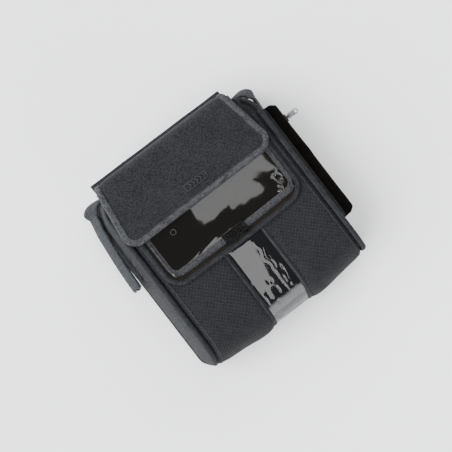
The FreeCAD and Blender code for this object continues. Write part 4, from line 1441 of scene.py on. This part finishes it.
def make_badge(pad):
    """Moulded badge: raised border round a row of chevrons."""
    low, high = box_mm("badge")
    x, y = (low.x + high.x) / 2, (low.y + high.y) / 2
    floor = max(top_at(pad, x + shift, y) for shift in (-10, 0, 10)) - 0.25
    line = floor + 0.6

    def ring(inset, turn):
        return rounded_box(low.x + inset, high.x - inset, low.y + inset, high.y - inset, turn, 4)

    base = make_slab("base", ring(0.0, 1.5), floor - 0.4, floor + 0.55, 0.2)
    border = [Vector((px, py, line)) for px, py in ring(0.55, 1.2)]
    rods = list(zip(border, border[1:] + border[:1]))
    for number in range(CHEVRONS):
        point = Vector((low.x + 8.7 + number * 5.0, y, line))
        rods += [(point, point + Vector((-2.6, lift, 0))) for lift in (-2.5, 2.5)]
    base.data.materials.append(BADGE)
    relief = make_rods("relief", rods, 0.5, 8)
    relief.data.materials.append(BADGE_RIM)
    badge = join("flap_badge", [base, relief])
    finish_piece(badge, BADGE, "main_flap", ["badge"])


make_badge(make_main_flap())
make_flap_fold()
make_hinge_tape()


# ---------------------------------------------------------------- webbing

WEBBING_LOW, WEBBING_HIGH = box_mm("webbing_top")
WEBBING_MIDDLE = (WEBBING_LOW.z + WEBBING_HIGH.z) / 2
WEBBING_HALF = (WEBBING_HIGH.z - WEBBING_LOW.z) / 2
WEBBING_OUT = corner_mm("webbing_loop_right", 1).x - 1.0
WEBBING_THICK = 3.8
WEBBING_LEAN = math.radians(15.0)
LOOP_LEAN = math.radians(28.0)
FRAYED_THREADS = 26


def make_webbing():
    """Webbing along the top wall, standing off the rounded corners."""
    out, face = WEBBING_OUT, TOP_FACE + 1.6
    plan = [(out - 0.8, 78.0), (out, 90.0), (out - 0.2, 101.5), (out - 3.6, 108.6), (out - 10.5, 112.2),
            (out - 22.0, 112.4), (WEBBING_HIGH.x, face + 0.6), (50.0, face), (0.0, face), (-50.0, face),
            (-WEBBING_HIGH.x, face + 0.6), (-out + 22.0, 111.8), (-out + 9.5, 111.8),
            (-out + 2.0, 108.4), (-out - 0.6, 103.0), (-out - 0.4, STRAP_PIVOT.y)]
    path = smooth_path([(x, y, WEBBING_MIDDLE + 0.4 * math.sin(x / 25)) for x, y in plan], 2.5)
    across = []
    for point in path:
        at_corner = smooth_step(abs(point.x), WEBBING_HIGH.x + 8.0, out - 14.0)
        beyond = smooth_step(106.0 - point.y, 0.0, 8.0)
        lean = (LOOP_LEAN + (WEBBING_LEAN - LOOP_LEAN) * beyond) * at_corner
        inwards = Vector((-point.x, -point.y * 0.4, 0)).normalized()
        across.append(inwards * math.sin(lean) + Vector((0, 0, math.cos(lean))))
    band = make_band("webbing_band", path, across, WEBBING_HALF, WEBBING_THICK, power=4.0)
    finish_piece(band, WEBBING, "bag",
                 ["webbing_top", "webbing_loop_left", "webbing_loop_right"])


def make_tail():
    """Loose end of the webbing down the left side, with its frayed cut."""
    out = WEBBING_OUT
    tail = [(-out - 0.6, STRAP_PIVOT.y + 1.5), (-out - 1.8, STRAP_PIVOT.y - 6.0), (-124.6, 78.0),
            (-127.6, 50.0), (-129.6, 26.0), (-130.8, 1.0)]
    path = smooth_path([(x, y, WEBBING_MIDDLE) for x, y in tail], 2.5)
    upright = Vector((math.sin(WEBBING_LEAN), 0, math.cos(WEBBING_LEAN)))
    strap = make_band("loose_webbing", path, [upright] * len(path), WEBBING_HALF, WEBBING_THICK, power=4.0)
    chance = random.Random(11)
    threads = []
    cut = WEBBING_HALF - 0.8
    for height in steps(-cut, cut, 2 * cut / (FRAYED_THREADS - 1)):
        start = path[-1] + upright * height + Vector((0, 0.6, 0))
        aside, onward, upward = (chance.uniform(*span) for span in ((-0.9, 0.9), (1.2, 3.4), (-0.8, 0.8)))
        threads.append((start, start + Vector((aside, -onward, upward))))
    strap = join("loose_webbing", [strap, make_rods("fray", threads, 0.32, 5)])
    finish_piece(strap, WEBBING, None, ["side_strap_left"])
    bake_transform(strap)


make_webbing()
make_tail()


# ---------------------------------------------------------------- side pocket

POCKET_LOW, POCKET_HIGH = box_mm("side_pocket_shell")
ZIP_LOW, ZIP_HIGH = box_mm("zip_coil")
ZIP_Z = (ZIP_LOW.z + ZIP_HIGH.z) / 2
ZIP_FACE = ZIP_LOW.x

# Distance between teeth, and the reach of one to either side of the zip's middle.
ZIP_PITCH = 1.05
ZIP_TOOTH = (-0.35, 1.25)

POCKET_TOP = POCKET_HIGH.z + 1.0
POCKET_END = 7.0
POCKET_TURN = 5.0


def cord_line(share):
    """(Y, shift in X) along a pocket cord; share is how much of the full 7 mm its ends turn in."""
    turn_in = [(1.0, -7.0), (3.5, -2.5), (10.0, 0.0)]
    line = [(POCKET_LOW.y + run, shift) for run, shift in turn_in] + [(-20.0, 0.4), (30.0, 0.2)]
    line += [(POCKET_HIGH.y - run, shift) for run, shift in reversed(turn_in)]
    return [(y, shift * share) for y, shift in line]


def make_pocket():
    """Soft pocket on the right wall, rounded at both ends, flat where the zip is sewn on."""
    top, bottom, outer, turn = POCKET_TOP, POCKET_LOW.z, ZIP_FACE, POCKET_TURN
    section = ([(wall_x(top) - 1.5, top)]
               + [(x, top) for x in steps(wall_x(top) + 1.0, outer - turn, 2.5)]
               + corner_arc((outer - turn, top - turn), turn, 80, 0, 5)
               + [(outer, z) for z in steps(top - turn, bottom + turn, 3.0)[1:-1]]
               + corner_arc((outer - turn, bottom + turn), turn, 0, -80, 5)
               + [(x, bottom) for x in steps(outer - turn, wall_x(bottom) - 1.5, 2.5)[1:]])
    run = distances(section)
    round_low, round_high = POCKET_LOW.y + POCKET_END, POCKET_HIGH.y - POCKET_END
    ys = runs((POCKET_LOW.y, round_low, 0.8), (round_low, round_high, 3.0),
              (round_high, POCKET_HIGH.y, 0.8))

    def place(y, index):
        x, z = section[int(index)]
        near = min(y - POCKET_LOW.y, POCKET_HIGH.y - y)
        share = min(near / POCKET_END, 1.0)
        full = math.sqrt(max(1 - (1 - share) ** 2, 0.0))
        beside_zip = smooth_step(abs(z - ZIP_Z), 5.5, 9.5)
        brim = 2.2 * smooth_step(z, ZIP_Z + 4.0, ZIP_Z + 8.0)
        swell = (0.9 + brim + 0.8 * ripple(y, run[int(index)], 26.0, 90.0)) * beside_zip * full
        wall = wall_x(z) - 1.5
        x = wall + (x - wall) * full
        swell *= smooth_step(x, wall, wall + 4.0)
        height = 1.0 - 0.06 * (1 - full)
        middle = (top + bottom) / 2
        return (x + swell, y, middle + (z - middle) * height)

    shell = make_sheet("pocket_shell", place, ys, list(range(len(section))),
                       lay=lambda y, index: (y, run[int(index)]))
    inflate(shell, pressure=1.0, cap=0.8, pin_where=lambda point: abs(point.z - ZIP_Z) < 9.0)
    thicken(shell, 1.6)
    finish_piece(shell, SHELL_DARK, "bag", ["side_pocket_shell"])


def make_pocket_trim():
    """Cords along the pocket's upper edges and the stitches beside the zip."""
    cords = (("inner", wall_x(POCKET_TOP) + 3.5, POCKET_TOP + 0.8, 2.6, 0.25),
             ("outer", ZIP_FACE + 0.6, POCKET_TOP - 2.6, 1.7, 1.0))
    for label, x, z, half, share in cords:
        path = smooth_path([(x + shift, y, z) for y, shift in cord_line(share)], 2.5)
        cord = make_band(f"pocket_cord_{label}", path, [(1, 0, 0)] * len(path), half, 2.6, power=2.0)
        finish_piece(cord, POCKET_CORD_PAINTED_HIGHLIGHT, "bag")
    rows = [[Vector((ZIP_FACE + 0.25, y, z)) for y in steps(ZIP_LOW.y - 2, ZIP_HIGH.y + 2, 2.5)]
            for z in (ZIP_Z + 6.2, ZIP_Z - 6.2)]
    stitches = stitch_rows("zip_stitches", rows, (1, 0, 0), ZIP_STITCH)
    finish_piece(stitches, THREAD, "bag")


def make_zip():
    """Zip tapes and the two rows of interlocking teeth."""
    for label, z in (("lower", ZIP_Z - 3.6), ("upper", ZIP_Z + 3.6)):
        path = [Vector((ZIP_FACE + 0.35, y, z)) for y in steps(ZIP_LOW.y - 3, ZIP_HIGH.y + 3, 3.0)]
        tape = make_band(f"zip_cloth_{label}", path, [(0, 0, 1)] * len(path), *ZIP_BAND, power=5.0)
        finish_piece(tape, ZIP_TAPE, "bag", [f"zip_tape_{label}"])
    rods = []
    for number, y in enumerate(steps(ZIP_LOW.y, ZIP_HIGH.y, ZIP_PITCH)):
        side = 1 if number % 2 else -1
        rods.append([Vector((ZIP_FACE + 1.0, y, ZIP_Z + reach * side)) for reach in ZIP_TOOTH])
    teeth = make_rods("zip_teeth", rods, 0.46, 8)
    finish_piece(teeth, COIL, "bag", ["zip_coil"])


make_pocket()
make_pocket_trim()
make_zip()


# ---------------------------------------------------------------- CAD nodes that stay

for node, material in (("base_board", BOARD), ("base_lining", LINING), ("zip_slider", SLIDER),
                       ("zip_pull", PULL), ("zip_stops", COIL)):
    kept = bpy.data.objects[node]
    kept.data.materials.clear()
    kept.data.materials.append(material)


# ---------------------------------------------------------------- camera, light, floor

# The point that the camera looks at and its distance, both in metres, its tilt and its lens.
CAMERA_TARGET = metres(-5.7, -3.5, FRONT)
CAMERA_DISTANCE = 1.52
CAMERA_LEAN = math.radians(6.3)
CAMERA_ROLL = math.radians(37.6)
CAMERA_LENS = 104

# Height of the reflected panels above the front, in metres, and each one's stretch of the front in
# X and Y, in millimetres, and brightness.
PANEL_ABOVE = 0.9
PANELS = (("strip_panel", (-120, 2), (-700, -10), 3.2), ("pane_panel_left", (-26, 16), (24, 90), 2.7),
          ("pane_panel_middle", (16, 54), (15, 90), 2.7), ("pane_panel_right", (54, 80), (30, 90), 2.7),
          ("pane_corner_panel", (88, 98), (18, 36), 14.0))

# Brightness all round, and brighter lobes given by their direction, strength and spread in degrees.
WORLD_BASE = 0.16
WORLD_LOBES = (((-0.80, 0.15, 0.58), 10.0, 48.0), ((0.55, 0.65, 0.52), 4.0, 48.0),
               ((0.1, -0.97, 0.2), 4.0, 34.0))
WORLD_TINT = (0.97, 0.985, 1.0, 1)

# Half the side of the floor.
FLOOR_REACH = 4000


def make_camera():
    """Camera nearly straight above, leaning to the bag's left, rolled as the bag lies."""
    lean = Matrix.Rotation(-CAMERA_LEAN, 3, "Y")
    right = lean @ Vector((math.cos(CAMERA_ROLL), -math.sin(CAMERA_ROLL), 0))
    up = lean @ Vector((math.sin(CAMERA_ROLL), math.cos(CAMERA_ROLL), 0))
    back = lean @ Vector((0, 0, 1))
    place = Matrix((right, up, back)).transposed().to_4x4()
    place.translation = CAMERA_TARGET + back * CAMERA_DISTANCE
    camera = bpy.data.objects.new("camera", bpy.data.cameras.new("camera"))
    camera.matrix_world = place
    camera.data.lens = CAMERA_LENS
    bpy.context.scene.collection.objects.link(camera)
    bpy.context.scene.camera = camera


def make_overhead(name, x_range, y_range, radiance):
    """Soft panel above the bag whose reflection covers a stretch of its front, in millimetres.

    A point of the front reflects the point of the panel that the camera would see through it, so
    the stretch is cast from the camera, mirrored below the front, on to the panel's height.
    """
    rise = PANEL_ABOVE / CAMERA_DISTANCE
    eye = bpy.context.scene.camera.matrix_world.translation
    xs = [value * MM * (1 + rise) - eye.x * rise for value in x_range]
    ys = [value * MM * (1 + rise) - eye.y * rise for value in y_range]
    data = bpy.data.lights.new(name, "AREA")
    data.shape = "RECTANGLE"
    data.size, data.size_y = abs(xs[1] - xs[0]), abs(ys[1] - ys[0])
    data.energy = radiance * math.pi * data.size * data.size_y
    lamp = bpy.data.objects.new(name, data)
    lamp.location = (sum(xs) / 2, sum(ys) / 2, FRONT * MM + PANEL_ABOVE)
    bpy.context.scene.collection.objects.link(lamp)


def make_world():
    """Surroundings: dark overhead, bright on the left, weaker on the right and towards the foot."""
    world = bpy.data.worlds.new("surroundings")
    world.use_nodes = True
    nodes = Nodes(world.node_tree)
    place = nodes.make("TexCoord", {})["Generated"]
    total = WORLD_BASE
    for direction, strength, spread in WORLD_LOBES:
        towards = {0: place, 1: Vector(direction).normalized()}
        dot = nodes.make("VectorMath", towards, operation="DOT_PRODUCT")["Value"]
        span = {"Value": dot, "From Min": math.cos(math.radians(spread)),
                "From Max": math.cos(math.radians(spread / 3))}
        lobe = nodes.make("MapRange", span, interpolation_type="SMOOTHSTEP")[0]
        total = nodes.math("ADD", nodes.math("MULTIPLY", lobe, strength), total)
    nodes.feed(nodes.tree.nodes["Background"], {0: WORLD_TINT, 1: total})
    bpy.context.scene.world = world


def make_stage():
    """Pale floor, surroundings and the panels that the vinyl reflects."""
    corners = [(FLOOR_REACH * x, FLOOR_REACH * y, 0) for x, y in ((-1, -1), (1, -1), (1, 1), (-1, 1))]
    floor = make_piece("floor", corners, [(0, 1, 2, 3)])
    material, _, _ = new_material("floor", (0.93, 0.93, 0.93), 0.9)
    floor.data.materials.append(material)
    make_world()
    for panel in PANELS:
        make_overhead(*panel)


make_camera()
make_stage()
